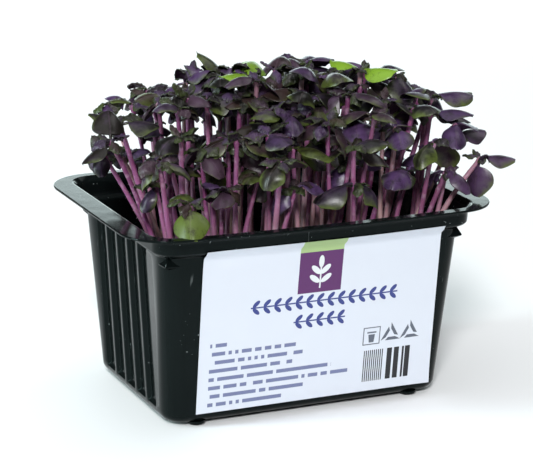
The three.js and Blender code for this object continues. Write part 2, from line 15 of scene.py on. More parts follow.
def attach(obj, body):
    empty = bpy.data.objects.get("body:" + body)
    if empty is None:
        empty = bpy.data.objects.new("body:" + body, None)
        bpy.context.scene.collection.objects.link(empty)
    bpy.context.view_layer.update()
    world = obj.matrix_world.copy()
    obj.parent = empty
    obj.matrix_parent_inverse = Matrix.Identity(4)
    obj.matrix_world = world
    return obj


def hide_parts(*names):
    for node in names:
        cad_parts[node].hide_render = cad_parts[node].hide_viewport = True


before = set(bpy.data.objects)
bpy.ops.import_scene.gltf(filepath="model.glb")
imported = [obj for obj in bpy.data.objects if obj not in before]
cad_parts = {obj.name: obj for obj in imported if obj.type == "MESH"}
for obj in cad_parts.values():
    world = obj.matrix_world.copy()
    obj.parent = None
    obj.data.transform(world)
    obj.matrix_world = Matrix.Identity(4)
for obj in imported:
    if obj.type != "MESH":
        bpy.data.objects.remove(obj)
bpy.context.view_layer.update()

MM = 0.001
BODY = "root"
log = logging.getLogger("basil")

Colour = tuple[float, float, float]
Range = tuple[float, float]


def add_object(name: str, data: bpy.types.ID) -> bpy.types.Object:
    """Adds an object to the scene."""
    made = bpy.data.objects.new(name, data)
    bpy.context.scene.collection.objects.link(made)
    return made


# Shader and geometry trees


class Wire:
    """A node's output socket that takes part in arithmetic."""

    def __init__(self, tree: "Tree", socket: bpy.types.NodeSocket) -> None:
        """Keeps the socket and the tree that it is in."""
        self.tree = tree
        self.socket = socket

    def maths(self, operation: str, *others: Any) -> "Wire":
        """Adds a Math node on this wire.

        Args:
            operation: the Math node's operation.
            others: numbers or wires for its other sockets.

        Returns:
            The node's result.
        """
        values = dict(enumerate((self, *others)))
        return self.tree.node("ShaderNodeMath", {"operation": operation}, values)

    def _swapped(self, operation: str, other: Any) -> "Wire":
        """The operation with other first."""
        return self.tree.node("ShaderNodeMath", {"operation": operation}, {0: other, 1: self})

    def __add__(self, other: Any) -> "Wire":
        """self + other."""
        return self.maths("ADD", other)

    def __radd__(self, other: Any) -> "Wire":
        """other + self."""
        return self.maths("ADD", other)

    def __sub__(self, other: Any) -> "Wire":
        """self - other."""
        return self.maths("SUBTRACT", other)

    def __rsub__(self, other: Any) -> "Wire":
        """other - self."""
        return self._swapped("SUBTRACT", other)

    def __mul__(self, other: Any) -> "Wire":
        """self * other."""
        return self.maths("MULTIPLY", other)

    def __rmul__(self, other: Any) -> "Wire":
        """other * self."""
        return self.maths("MULTIPLY", other)

    def __truediv__(self, other: Any) -> "Wire":
        """self / other."""
        return self.maths("DIVIDE", other)

    def __pow__(self, other: Any) -> "Wire":
        """self to a power."""
        return self.maths("POWER", other)

    def __gt__(self, other: Any) -> "Wire":
        """1 where self is over other, or else 0."""
        return self.maths("GREATER_THAN", other)

    def __lt__(self, other: Any) -> "Wire":
        """1 where self is under other, or else 0."""
        return self.maths("LESS_THAN", other)

    def __abs__(self) -> "Wire":
        """Distance from zero."""
        return self.maths("ABSOLUTE")

    def fraction(self) -> "Wire":
        """What is left after the whole number below it."""
        return self.maths("FRACT")

    def floor(self) -> "Wire":
        """The whole number below it."""
        return self.maths("FLOOR")

    def at_least(self, other: Any) -> "Wire":
        """The larger of the two."""
        return self.maths("MAXIMUM", other)

    def between(self, low: float, high: float) -> "Wire":
        """1 from low to high, or else 0."""
        return (self > low) * (self < high)

    def rise(self, low: float, high: float) -> "Wire":
        """0 below low and 1 above high, with a smooth step from one to the other."""
        settings = {"interpolation_type": "SMOOTHSTEP"}
        values = {"Value": self, "From Min": low, "From Max": high}
        return self.tree.node("ShaderNodeMapRange", settings, values)


class Tree:
    """A node tree whose nodes all come from one method."""

    def __init__(self, nodes: bpy.types.NodeTree) -> None:
        """Takes a tree and empties it."""
        self.nodes = nodes
        nodes.nodes.clear()

    def node(
        self,
        kind: str,
        settings: dict[str, Any] | None = None,
        values: dict[str | int, Any] | None = None,
        output: str | int = 0,
    ) -> Wire:
        """Adds a node.

        Args:
            kind: the node's type.
            settings: attributes that are set first; "stops" holds a ramp's places and colours.
            values: numbers, colours or wires for its sockets, by name or place.
            output: which output the result reads.

        Returns:
            The output as a wire.
        """
        made = self.nodes.nodes.new(kind)
        for name, setting in (settings or {}).items():
            if name == "stops":
                self._set_stops(made.color_ramp, setting)
            else:
                setattr(made, name, setting)
        for name, value in (values or {}).items():
            socket = made.inputs[name]
            if isinstance(value, Wire):
                self.nodes.links.new(value.socket, socket)
            elif socket.type == "RGBA" and len(value) == 3:
                socket.default_value = (*value, 1.0)
            else:
                socket.default_value = value
        outputs = made.outputs
        if not len(outputs):
            return Wire(self, None)
        return Wire(self, outputs[output])

    @staticmethod
    def _set_stops(ramp: bpy.types.ColorRamp, stops: Sequence[tuple[float, Colour]]) -> None:
        """Sets a ramp's places and colours."""
        while len(ramp.elements) < len(stops):
            ramp.elements.new(1.0)
        for element, (place, colour) in zip(ramp.elements, stops):
            element.position = place
            element.color = (*colour, 1.0)


class Shader(Tree):
    """A material built on one Principled shader."""

    def __init__(self, name: str, **fixed: Any) -> None:
        """Starts a material.

        Args:
            name: the material's name.
            fixed: values of the shader's sockets that are the same all over, with _ for each space.
        """
        self.material = bpy.data.materials.new(name)
        self.material.use_nodes = True
        super().__init__(self.material.node_tree)
        self.surface = self.nodes.nodes.new("ShaderNodeBsdfPrincipled")
        out = self.nodes.nodes.new("ShaderNodeOutputMaterial")
        self.nodes.links.new(self.surface.outputs[0], out.inputs["Surface"])
        for key, value in fixed.items():
            self.surface.inputs[key.replace("_", " ")].default_value = value

    def feed(self, socket: str, wire: Wire) -> None:
        """Links a wire to one of the shader's sockets."""
        self.nodes.links.new(wire.socket, self.surface.inputs[socket])

    def place(self) -> Wire:
        """Object coordinates, in metres."""
        return self.node("ShaderNodeTexCoord", output="Object")

    def noise(self, vector: Wire, scale: float, detail: float = 2.0, roughness: float = 0.5) -> Wire:
        """Smooth noise from 0 to 1 at a scale."""
        values = {"Vector": vector, "Scale": scale, "Detail": detail, "Roughness": roughness}
        return self.node("ShaderNodeTexNoise", {}, values, "Fac")

    def chance(self, vector: Wire) -> Wire:
        """A value from 0 to 1 that is drawn for each place."""
        settings = {"noise_dimensions": "2D"}
        return self.node("ShaderNodeTexWhiteNoise", settings, {"Vector": vector}, "Value")

    def blend(self, share: Wire | float, first: Wire | Colour, second: Wire | Colour) -> Wire:
        """The first colour where share is 0 and the second where it is 1."""
        values = {0: share, 6: first, 7: second}
        return self.node("ShaderNodeMix", {"data_type": "RGBA"}, values, 2)

    def ramp(self, share: Wire, stops: Sequence[tuple[float, Colour]]) -> Wire:
        """A colour read off a ramp."""
        return self.node("ShaderNodeValToRGB", {"stops": stops}, {"Fac": share})

    def attribute(self, name: str, output: str = "Fac") -> Wire:
        """A mesh attribute by name."""
        return self.node("ShaderNodeAttribute", {"attribute_name": name}, {}, output)

    def split(self, vector: Wire) -> tuple[Wire, Wire, Wire]:
        """A vector's three numbers."""
        first = self.node("ShaderNodeSeparateXYZ", {}, {0: vector}, 0)
        outputs = first.socket.node.outputs
        return first, Wire(self, outputs[1]), Wire(self, outputs[2])

    def bump(self, height: Wire, strength: float, distance_mm: float) -> None:
        """Feeds the shader's normal with a bump."""
        values = {"Height": height, "Strength": strength, "Distance": distance_mm * MM}
        self.feed("Normal", self.node("ShaderNodeBump", {}, values))


# Finishes


@dataclass(frozen=True)
class GlossySheet:
    """Black formed plastic sheet: deep gloss with a faint ripple, and dulled where it was stretched."""

    colour: Colour = (0.0016, 0.0026, 0.0026)
    pale: Colour = (0.0040, 0.0060, 0.0060)
    dust: Colour = (0.22, 0.25, 0.25)

    def material(self) -> bpy.types.Material:
        """Builds the material."""
        shader = Shader("black_formed_sheet", IOR=1.2, Specular_Tint=(0.80, 1.0, 1.0, 1.0))
        place = shader.place()
        cloud = shader.noise(place, 38.0, 3.0)
        fine = shader.noise(place, 420.0, 2.0)
        dusty = shader.noise(place, 45.0, 1.0).rise(0.46, 0.6)
        speck = shader.noise(place, 1350.0, 0.0).rise(0.82, 0.85) * dusty
        drawn = shader.node("ShaderNodeMapping", {}, {"Vector": place, "Scale": (1.0, 1.0, 0.07)})
        scuffed = shader.noise(place, 60.0, 1.0).rise(0.5, 0.62)
        scratch = shader.noise(drawn, 900.0, 0.0).rise(0.79, 0.82) * scuffed
        skin = shader.blend(cloud, self.colour, self.pale)
        shader.feed("Base Color", shader.blend(speck * 0.8 + scratch * 0.3, skin, self.dust))
        shader.feed("Roughness", 0.07 + cloud * 0.09 + fine * 0.05 + speck * 0.4)
        shader.bump(shader.noise(place, 90.0, 1.0) + fine * 0.08, 0.25, 0.25)
        return shader.material


@dataclass(frozen=True)
class Peat:
    """Moist dark growing medium with paler fibres and specks."""

    dark: Colour = (0.006, 0.004, 0.003)
    brown: Colour = (0.028, 0.016, 0.009)
    fibre: Colour = (0.12, 0.07, 0.035)

    def material(self) -> bpy.types.Material:
        """Builds the material."""
        shader = Shader("peat")
        place = shader.place()
        grain = shader.noise(place, 900.0, 4.0, 0.65)
        clod = shader.noise(place, 160.0, 3.0)
        soil = shader.blend(grain.rise(0.35, 0.7), self.dark, self.brown)
        fleck = shader.noise(place, 1500.0, 1.0).rise(0.66, 0.74) * clod.rise(0.4, 0.6)
        shader.feed("Base Color", shader.blend(fleck * 0.7, soil, self.fibre))
        shader.feed("Roughness", 0.72 + grain * 0.25)
        shader.bump(grain + clod, 0.9, 0.8)
        return shader.material


@dataclass(frozen=True)
class StemSkin:
    """A seedling's stem: pale pinkish at the root, magenta further up and violet at its tip."""

    root: Colour = (0.44, 0.29, 0.27)
    low: Colour = (0.37, 0.185, 0.26)
    middle: Colour = (0.28, 0.075, 0.21)
    tip: Colour = (0.14, 0.025, 0.10)
    tan: Colour = (0.52, 0.39, 0.31)
    pale: Colour = (0.62, 0.45, 0.54)

    def material(self) -> bpy.types.Material:
        """Builds the material."""
        shader = Shader("stem_skin", Subsurface_Weight=0.12, Subsurface_Scale=0.0012)
        along, shade, greenness = shader.split(shader.attribute("tone", "Vector"))
        place = shader.place()
        drawn = shader.node("ShaderNodeMapping", {}, {"Vector": place, "Scale": (1.0, 1.0, 0.12)})
        streak = shader.noise(drawn, 2600.0, 2.0)
        stops = [(0.0, self.root), (0.34, self.low), (0.66, self.middle), (1.0, self.tip)]
        skin = shader.ramp(along + (streak - 0.5) * 0.3 + (shade - 0.5) * 0.5, stops)
        skin = shader.blend(greenness * (1.0 - along * 0.6), skin, self.tan)
        pale = shader.noise(place, 420.0, 2.0).rise(0.5, 0.75) * 0.3
        shader.feed("Base Color", shader.blend(pale, skin, self.pale))
        shader.feed("Roughness", 0.42 + streak * 0.2)
        shader.bump(streak, 0.3, 0.12)
        return shader.material


@dataclass(frozen=True)
class LeafSkin:
    """A leaf's skin: dark purple with a violet bloom and fine veins, greener where its tone says so."""

    name: str
    dark: Colour = (0.0050, 0.0046, 0.0036)
    violet: Colour = (0.085, 0.042, 0.125)
    brown: Colour = (0.036, 0.020, 0.012)
    olive: Colour = (0.066, 0.088, 0.018)
    bright: Colour = (0.17, 0.30, 0.02)
    vein: Colour = (0.09, 0.04, 0.09)
    underside: Colour = (0.045, 0.016, 0.040)
    fleck: Colour = (0.09, 0.075, 0.09)
    veins: float = 5.0
    relief: float = 0.35
    rough: float = 0.22
    netting: float = 0.12

    def material(self) -> bpy.types.Material:
        """Builds the material."""
        shader = Shader(self.name, IOR=1.36)
        greenness, shade, bloom = shader.split(shader.attribute("tone", "Vector"))
        along, across, face = shader.split(shader.attribute("leaf", "Vector"))
        place = shader.place()
        cloud = shader.noise(place, 210.0, 3.0, 0.6)
        speck = shader.noise(place, 1900.0, 2.0, 0.6)
        side = abs(across)
        midrib = 1.0 - side.rise(0.02, 0.075)
        slant = ((along - side * 0.34) * self.veins).fraction()
        blade = side.rise(0.0, 0.1) * (1.0 - side.rise(0.75, 1.0))
        lateral = (1.0 - abs(slant - 0.5).rise(0.03, 0.12)) * blade
        mesh = 1.0 - abs(shader.noise(place, 700.0, 1.0) - 0.5).rise(0.0, 0.06)
        veins = (midrib * 0.6).at_least((lateral * 0.75).at_least(mesh * 0.3) * self.netting)
        purple = shader.blend(bloom + (cloud - 0.5) * 0.9, self.dark, self.violet)
        purple = shader.blend(shade.rise(0.45, 1.0) * 0.7, purple, self.brown)
        green = shader.blend(greenness.rise(0.45, 1.0), self.olive, self.bright)
        margin = side * side * 0.42 + along * 0.2
        turning = (greenness * 1.3 + (cloud - 0.5) * 0.9 + margin).rise(0.42, 0.98)
        skin = shader.blend(turning, purple, green)
        skin = shader.blend(veins * 0.38, skin, shader.blend(greenness, self.vein, (0.2, 0.24, 0.08)))
        skin = shader.blend(face * (1.0 - turning * 0.75) * 0.7, skin, self.underside)
        dull = 0.6 - (cloud * 0.6 + speck * 0.4).rise(0.36, 0.52) * 0.6
        skin = shader.blend(dull, skin, self.dark)
        skin = shader.blend(speck.rise(0.6, 0.8) * 0.22, skin, self.fleck)
        shader.feed("Base Color", skin)
        shader.feed("Roughness", self.rough + speck * 0.12 + cloud * 0.1 + face * 0.12)
        shader.bump(cloud * 0.5 - veins * 0.5 + speck * 0.12, self.relief, 0.35)
        return shader.material


@dataclass(frozen=True)
class StemDown:
    """Fine pale hairs."""

    colour: Colour = (0.66, 0.48, 0.56)
    tint: Colour = (0.45, 0.28, 0.36)
    density: float = 260000.0
    sizes: tuple[float, float] = (0.00045, 0.0009)

    def material(self) -> bpy.types.Material:
        """Builds the material."""
        shader = Shader("stem_down", Roughness=0.55)
        tint = shader.noise(shader.place(), 300.0)
        shader.feed("Base Color", shader.blend(tint, self.colour, self.tint))
        return shader.material

    def grow(self, skins: bmesh.types.BMesh) -> bpy.types.Object:
        """Grows the hairs on the stems.

        Args:
            skins: all the seedlings' faces, the stems' being those of the first finish.

        Returns:
            The piece.
        """
        blades = [face for face in skins.faces if face.material_index != 0]
        bmesh.ops.delete(skins, geom=blades, context="FACES")
        mesh = bpy.data.meshes.new("stems")
        skins.to_mesh(mesh)
        skins.free()
        source = add_object("stems", mesh)
        scatter = Scatter("down_scatter", Shape.HAIR, self.material())
        hairs = scatter.over(source, "stem_hairs", self.density, self.sizes)
        bpy.data.objects.remove(source)
        return hairs


@dataclass(frozen=True)
class Ink:
    """A flat printed colour and what it covers, as a mask of the label's own millimetres."""

    colour: Colour
    mask: Wire


@dataclass(frozen=True)
class LabelPaper:
    """White coated paper printed with a leaf panel, leafy bands, plain rules and bars. No lettering."""

    paper: Colour = (0.66, 0.70, 0.775)
    shaded: Colour = (0.62, 0.66, 0.74)
    plum: Colour = (0.10, 0.022, 0.12)
    sage: Colour = (0.36, 0.50, 0.22)
    sprig: Colour = (0.70, 0.74, 0.76)
    indigo: Colour = (0.035, 0.05, 0.22)
    grey: Colour = (0.10, 0.115, 0.15)
    slate: Colour = (0.07, 0.09, 0.24)
    black: Colour = (0.015, 0.015, 0.018)
    panel_x: tuple[float, float] = (-7.9, 9.4)
    panel_y: tuple[float, float] = (47.6, 69.0)
    band_y: tuple[float, float] = (63.6, 69.0)

    def material(self) -> bpy.types.Material:
        """Builds the material."""
        shader = Shader("label_paper", IOR=1.45)
        x, y, _ = shader.split(shader.attribute("print_mm", "Vector"))
        skin = shader.blend(shader.noise(shader.place(), 60.0, 2.0) * 0.5, self.paper, self.shaded)
        for ink in self._inks(shader, x, y):
            skin = shader.blend(ink.mask, skin, ink.colour)
        shader.feed("Base Color", skin)
        fibre = shader.noise(shader.place(), 1800.0, 3.0)
        shader.feed("Roughness", 0.34 + fibre * 0.14)
        shader.bump(fibre * 0.15 + shader.noise(shader.place(), 28.0, 1.0), 0.2, 0.5)
        return shader.material

    def _inks(self, shader: Shader, x: Wire, y: Wire) -> list[Ink]:
        """All the printed marks.

        Args:
            shader: the label's shader.
            x: place along the label.
            y: place up the label.

        Returns:
            The inks, in the order that they are laid down.
        """
        across = x.between(*self.panel_x)
        panel, band = across * y.between(*self.panel_y), across * y.between(*self.band_y)
        inks = [Ink(self.plum, panel), Ink(self.sage, band), Ink(self.sprig, self._sprig(x, y))]
        inks.append(Ink(self.indigo, self._garland(x, y, -26.0, 33.2, 44.2)))
        inks.append(Ink(self.indigo, self._garland(x, y, -8.6, 12.2, 36.6)))
        inks.append(Ink(self.slate, self._rules(shader, x, y)))
        inks.append(Ink(self.black, self._bars(shader, x, y)))
        for middle in (32.0, 40.0):
            inks.append(Ink(self.grey, self._loop(x - middle, y - 27.0)))
        inks.append(Ink(self.grey, self._bin(x - 24.0, y - 27.2)))
        return inks

    @staticmethod
    def _ellipse(x: Wire, y: Wire, turn: float, long: float, short: float) -> Wire:
        """A turned ellipse round the origin."""
        c, s = math.cos(turn), math.sin(turn)
        along, across = x * c + y * s, y * c - x * s
        return ((along / long) ** 2.0 + (abs(across) / short) ** 2.0) < 1.0

    def _sprig(self, x: Wire, y: Wire) -> Wire:
        """A sprig of five leaves on the panel."""
        px, py = x - 0.8, y - 54.6
        mask = abs(px).maths("LESS_THAN", 0.3) * py.between(-5.4, 4.0)
        leaves = [(-2.3, -1.6, 2.5), (2.3, -1.6, 0.64), (-1.9, 1.9, 2.4), (1.9, 1.9, 0.74)]
        for cx, cy, turn in [*leaves, (0.0, 5.0, math.pi / 2)]:
            mask = mask.at_least(self._ellipse(px - cx, py - cy, turn, 2.4, 1.05))
        return mask

    def _garland(self, x: Wire, y: Wire, low: float, high: float, middle: float) -> Wire:
        """A band of small slanted leaves in pairs.

        Args:
            x: place along the label.
            y: place up the label.
            low: where the band starts.
            high: where it ends.
            middle: its height.

        Returns:
            The mask.
        """
        pitch = 4.25
        cell = ((x - low) / pitch).fraction() * pitch - pitch / 2
        py = y - middle
        upper = self._ellipse(cell, py - 1.45, 0.75, 1.75, 0.8)
        lower = self._ellipse(cell, py + 1.45, -0.75, 1.75, 0.8)
        vine = abs(py) < 0.28
        return upper.at_least(lower).at_least(vine) * x.between(low, high)

    @staticmethod
    def _rules(shader: Shader, x: Wire, y: Wire) -> Wire:
        """Rows of plain dashes of uneven length.

        Args:
            shader: the label's shader.
            x: place along the label.
            y: place up the label.

        Returns:
            The mask.
        """
        pitch = 3.32
        rows = 8
        row = ((y - 6.4) / pitch).floor()
        within = ((y - 6.4) / pitch).fraction().between(0.26, 0.70)
        ends = (30.0, 38.0, 56.0, 49.0, 33.0, 37.0, 34.0, 6.5)
        steps = [(k / rows, (end / 100.0,) * 3) for k, end in enumerate(ends)]
        ramp = shader.node("ShaderNodeValToRGB", {"stops": steps}, {"Fac": (row + 0.5) / rows})
        ramp.socket.node.color_ramp.interpolation = "CONSTANT"
        reach = ramp * 100.0
        place = shader.node("ShaderNodeCombineXYZ", {}, {0: ((x + 100.0) / 1.3).floor(), 1: row})
        chance = shader.chance(place)
        inside = (x > -41.0) * ((x + 41.0) < reach) * y.between(6.4, 6.4 + rows * pitch)
        return within * (chance > 0.16) * inside * 0.85

    @staticmethod
    def _bars(shader: Shader, x: Wire, y: Wire) -> Wire:
        """A block of plain upright bars."""
        place = shader.node("ShaderNodeCombineXYZ", {}, {0: ((x + 100.0) / 0.42).floor()})
        chance = shader.chance(place)
        return (chance > 0.47) * x.between(21.4, 41.2) * y.between(8.8, 21.4)

    @staticmethod
    def _loop(x: Wire, y: Wire) -> Wire:
        """A three-sided loop with a gap in each side."""
        slant = (abs(x) * 0.866 + y * 0.5).at_least(y * -1.0)
        ring = abs(slant - 1.75) < 0.62
        turn = y.maths("ARCTAN2", x) * (3.0 / (2.0 * math.pi)) + 2.25
        return ring * (turn.fraction() > 0.14)

    @staticmethod
    def _bin(x: Wire, y: Wire) -> Wire:
        """A waste bin with its lid, in a thin frame."""
        frame_line = (abs(x).at_least(abs(y)) - 3.5).between(-0.35, 0.05)
        tub = (abs(x) < y * 0.12 + 1.3) * y.between(-2.6, 0.6)
        lid = (abs(x) < 1.9) * y.between(1.1, 1.7)
        return frame_line.at_least(tub).at_least(lid)


# Meshes


@dataclass
class Solid:
    """Points in millimetres, faces with their finish's place, and values at the points."""

    points: list[np.ndarray] = field(default_factory=list)
    faces: list[tuple[tuple[int, ...], int]] = field(default_factory=list)
    values: dict[str, list[np.ndarray]] = field(default_factory=dict)
    count: int = 0

    def add(
        self,
        points: np.ndarray,
        faces: Iterable[Sequence[int]],
        finish: int = 0,
        values: dict[str, np.ndarray] | None = None,
    ) -> None:
        """Adds a shell.

        Args:
            points: its points, n by 3.
            faces: its faces, counted from its own first point.
            finish: the place of its finish on the piece.
            values: n by 3 values by attribute name.
        """
        start = self.count
        self.points.append(np.asarray(points, float))
        self.faces += [(tuple(start + i for i in f), finish) for f in faces]
        for name, value in (values or {}).items():
            self.values.setdefault(name, []).append(np.asarray(value, float))
        self.count += len(points)

    def piece(self, name: str, finishes: Sequence[bpy.types.Material]) -> bpy.types.Object:
        """Makes the Blender object, in metres.

        Args:
            name: the piece's name.
            finishes: its materials in order.

        Returns:
            The object, linked to the scene.
        """
        mesh = bpy.data.meshes.new(name)
        mesh.from_pydata((np.vstack(self.points) * MM).tolist(), [], [f for f, _ in self.faces])
        mesh.polygons.foreach_set("material_index", [finish for _, finish in self.faces])
        mesh.polygons.foreach_set("use_smooth", [True] * len(mesh.polygons))
        for finish in finishes:
            mesh.materials.append(finish)
        for attribute, parts in self.values.items():
            layer = mesh.attributes.new(attribute, "FLOAT_VECTOR", "POINT")
            layer.data.foreach_set("vector", np.vstack(parts).astype(np.float32).ravel())
        mesh.update()
        return add_object(name, mesh)


def ring_faces(rings: int, count: int) -> list[tuple[int, ...]]:
    """Faces that skin stacked rings of points, with both ends closed.

    Args:
        rings: how many rings there are.
        count: how many points each has, turning left seen from the last ring.

    Returns:
        The faces.
    """
    faces: list[tuple[int, ...]] = []
    for k in range(rings - 1):
        for i in range(count):
            j = (i + 1) % count
            low, high = k * count, (k + 1) * count
            faces.append((low + i, low + j, high + j, high + i))
    faces.append(tuple(reversed(range(count))))
    faces.append(tuple(range((rings - 1) * count, rings * count)))
    return faces


def rim_line(rows: int, columns: int) -> list[int]:
    """The points round a grid's rim, in order.

    Args:
        rows: how many rows of faces the grid has.
        columns: how many columns of faces it has.

    Returns:
        The points' numbers.
    """
    across = columns + 1
    line = list(range(across)) + [r * across + columns for r in range(1, rows + 1)]
    line += [rows * across + c for c in range(columns - 1, -1, -1)]
    return line + [r * across for r in range(rows - 1, 0, -1)]


def sheet_faces(rows: int, columns: int) -> list[tuple[int, ...]]:
    """Faces of a thin sheet: one grid of points, another behind it, and the rim between them.

    Args:
        rows: how many rows of faces each grid has.
        columns: how many columns of faces it has.

    Returns:
        The faces.
    """
    across = columns + 1
    total = across * (rows + 1)
    faces: list[tuple[int, ...]] = []
    for r in range(rows):
        for c in range(columns):
            a = r * across + c
            faces.append((a, a + across, a + across + 1, a + 1))
            faces.append((total + a, total + a + 1, total + a + across + 1, total + a + across))
    line = rim_line(rows, columns)
    for a, b in zip(line, line[1:] + line[:1]):
        faces.append((a, b, total + b, total + a))
    return faces


def settle(piece: bpy.types.Object, slot: str, *nodes: str) -> None:
    """Attaches a finished piece to the body, hides the CAD nodes that it stands for and logs its faces."""
    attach(piece, BODY)
    if nodes:
        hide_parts(*nodes)
    log.info("%s: %d faces", piece.name, len(piece.data.polygons))


# Tray


@dataclass
class Tray:
    """The black formed tray. All sizes are in millimetres."""

    rim: tuple[float, float] = (146.0, 102.8)
    height: float = 74.9
    sheet: float = 0.8
    flange: tuple[float, float] = (11.0, 6.0)
    mouth_slope: float = 2.2
    flange_corner: float = 18.0
    corner: float = 8.0
    band_height: float = 6.4
    band_step: float = 3.0
    bow: float = 1.8
    base: tuple[float, float] = (111.4, 74.4)
    fillet: float = 4.0
    foot_height: float = 1.2
    foot_radius: float = 3.4
    foot_inset: tuple[float, float] = (12.4, 4.0)
    flutes: int = 5
    flute_pitch: float = 10.6
    flute_ridge: float = 1.9
    flute_depth: float = 1.5
    flute_slope: float = 0.8
    lug_height: float = 4.8
    lug_depth: float = 3.3
    lug_tail: tuple[float, float] = (5.0, 4.6)
    lug_short_tail: float = 1.2
    lug_bevel: float = 0.4
    step_drop: float = 1.6
    foot_sides: int = 28
    arc_steps: int = 12
    long_steps: int = 26

    @property
    def band_low(self) -> float:
        """Height of the band's lower edge."""
        return self.height - self.sheet - self.band_height

    @property
    def wall_low(self) -> float:
        """Height where the base's fillet meets the wall."""
        return self.foot_height + self.fillet

    @property
    def wall_high(self) -> float:
        """Height where the wall meets the band's step."""
        return self.band_low - self.step_drop

    @property
    def band_half(self) -> np.ndarray:
        """Outer half length and half width of the band."""
        return np.array(self.rim) / 2 - np.array(self.flange) + self.sheet

    def wall_half(self, z: float) -> np.ndarray:
        """Outer half length and half width of the tapered wall at a height."""
        share = (z - self.wall_low) / (self.wall_high - self.wall_low)
        low, high = np.array(self.base) / 2, self.band_half - self.band_step
        return low + (high - low) * share

    def bow_at(self, z: float) -> float:
        """How far out a long wall bows at a height."""
        return self.bow * max(0.0, (z - self.wall_low) / (self.height - self.wall_low)) ** 1.5

    def inner_half(self, z: float) -> np.ndarray:
        """Inner half length, clear of the flutes, and half width at a height."""
        return self.wall_half(max(z, self.wall_low)) - self.sheet - np.array([self.flute_depth, 0.0])

    def _flute_edge(self) -> list[tuple[float, float]]:
        """Places along a short wall, with how deep the flute is there."""
        found: list[tuple[float, float]] = []
        for k in range(self.flutes):
            low = (k - self.flutes / 2) * self.flute_pitch + self.flute_ridge / 2
            high = low + self.flute_pitch - self.flute_ridge
            for share in (0.0, 0.22, 0.5, 0.78, 1.0, 1.35):
                found.append((low + share * self.flute_slope, self._ease(share)))
            for share in (1.35, 1.0, 0.78, 0.5, 0.22, 0.0):
                found.append((high - share * self.flute_slope, self._ease(share)))
        return found

    @staticmethod
    def _ease(share: float) -> float:
        """A smooth step from 0 to 1."""
        s = min(1.0, share)
        return s * s * (3 - 2 * s)

    def outline(self, level: np.ndarray) -> np.ndarray:
        """One level's points.

        Args:
            level: its height, half length, half width, corner radius, bow and flute depth.

        Returns:
            The points, turning left seen from above.
        """
        z, hx, hy, corner, bow, flute = level
        cx, cy = hx - corner, hy - corner
        ring: list[tuple[float, float, float]] = []

        def short(side: int) -> None:
            """Adds a fluted short side."""
            for place, deep in self._flute_edge():
                ring.append((side * (hx - deep * flute), side * place, z))

        def arc(mx: float, my: float, start: float) -> None:
            """Adds a corner round a middle."""
            for k in range(self.arc_steps + 1):
                a = start + k / self.arc_steps * math.pi / 2
                ring.append((mx + corner * math.cos(a), my + corner * math.sin(a), z))

        def long(side: int) -> None:
            """Adds a bowed long side."""
            for k in range(1, self.long_steps):
                t = 2 * k / self.long_steps - 1
                ring.append((-side * cx * t, side * (hy + bow * (1 - t * t)), z))

        short(1)
        arc(cx, cy, 0.0)
        long(1)
        arc(-cx, cy, math.pi / 2)
        short(-1)
        arc(-cx, -cy, math.pi)
        long(-1)
        arc(cx, -cy, -math.pi / 2)
        return np.array(ring)

    def _levels(self, inset: float) -> list[tuple[np.ndarray, float]]:
        """Levels from the base to the band.

        Args:
            inset: how far inside the outer face they are.

        Returns:
            The levels, each with how much its edge is softened.
        """
        found: list[tuple[np.ndarray, float]] = []

        def level(z: float, lift: float, out: float, corner: float, flute: float, soft: float) -> None:
            """Adds a level of the wall."""
            hx, hy = self.wall_half(max(z, self.wall_low)) + out - inset
            values = [z + lift, hx, hy, max(corner - inset, 1.0), self.bow_at(z), flute]
            found.append((np.array(values), soft))

        for k in range(7):
            a = k / 6 * math.pi / 2
            out = self.fillet * (math.sin(a) - 1)
            z = self.wall_low - self.fillet * math.cos(a)
            level(z, inset * math.cos(a), out, self.corner + out * 0.9, 0.0, 0.0)
        level(self.wall_low + self.flute_depth, 0, 0, self.corner, self.flute_depth, 0.9)
        level(self.wall_high - 2 * self.flute_depth, 0, 0, self.corner, self.flute_depth, 1.2)
        level(self.wall_high, 0, 0, self.corner, 0.0, 0.6)
        for z, less, soft in ((self.band_low - 0.4, 0.8, 0.3), (self.band_low + 0.4, 0.2, 0.5)):
            hx, hy = self.band_half - less - inset
            values = [z + inset * 0.4, hx, hy, self.corner, self.bow_at(z), 0.0]
            found.append((np.array(values), soft))
        return found

    def _profile(self) -> list[np.ndarray]:
        """Every level of the shell, from the outer base over the rim to the inner base."""
        under = self.height - self.sheet
        rim = np.array(self.rim) / 2
        mouth = rim - np.array(self.flange)
        outer = self._levels(0.0)
        slope = self.mouth_slope - 0.4 * self.sheet
        wide, tight = self.corner + slope, self.corner - self.sheet
        outer += [
            (np.array([under - slope, *self.band_half, self.corner, self.bow, 0.0]), 1.2),
            (np.array([under, *(self.band_half + slope), wide, self.bow, 0.0]), 1.2),
            (np.array([under, *rim, self.flange_corner, self.bow, 0.0]), 0.35),
            (np.array([self.height, *rim, self.flange_corner, self.bow, 0.0]), 0.35),
            (np.array([self.height, *(mouth + self.mouth_slope), wide, self.bow, 0.0]), 0.5),
            (np.array([self.height - self.mouth_slope, *mouth, tight, self.bow, 0.0]), 1.2),
        ]
        inner = self._levels(self.sheet)
        return self._soften(outer + inner[::-1])

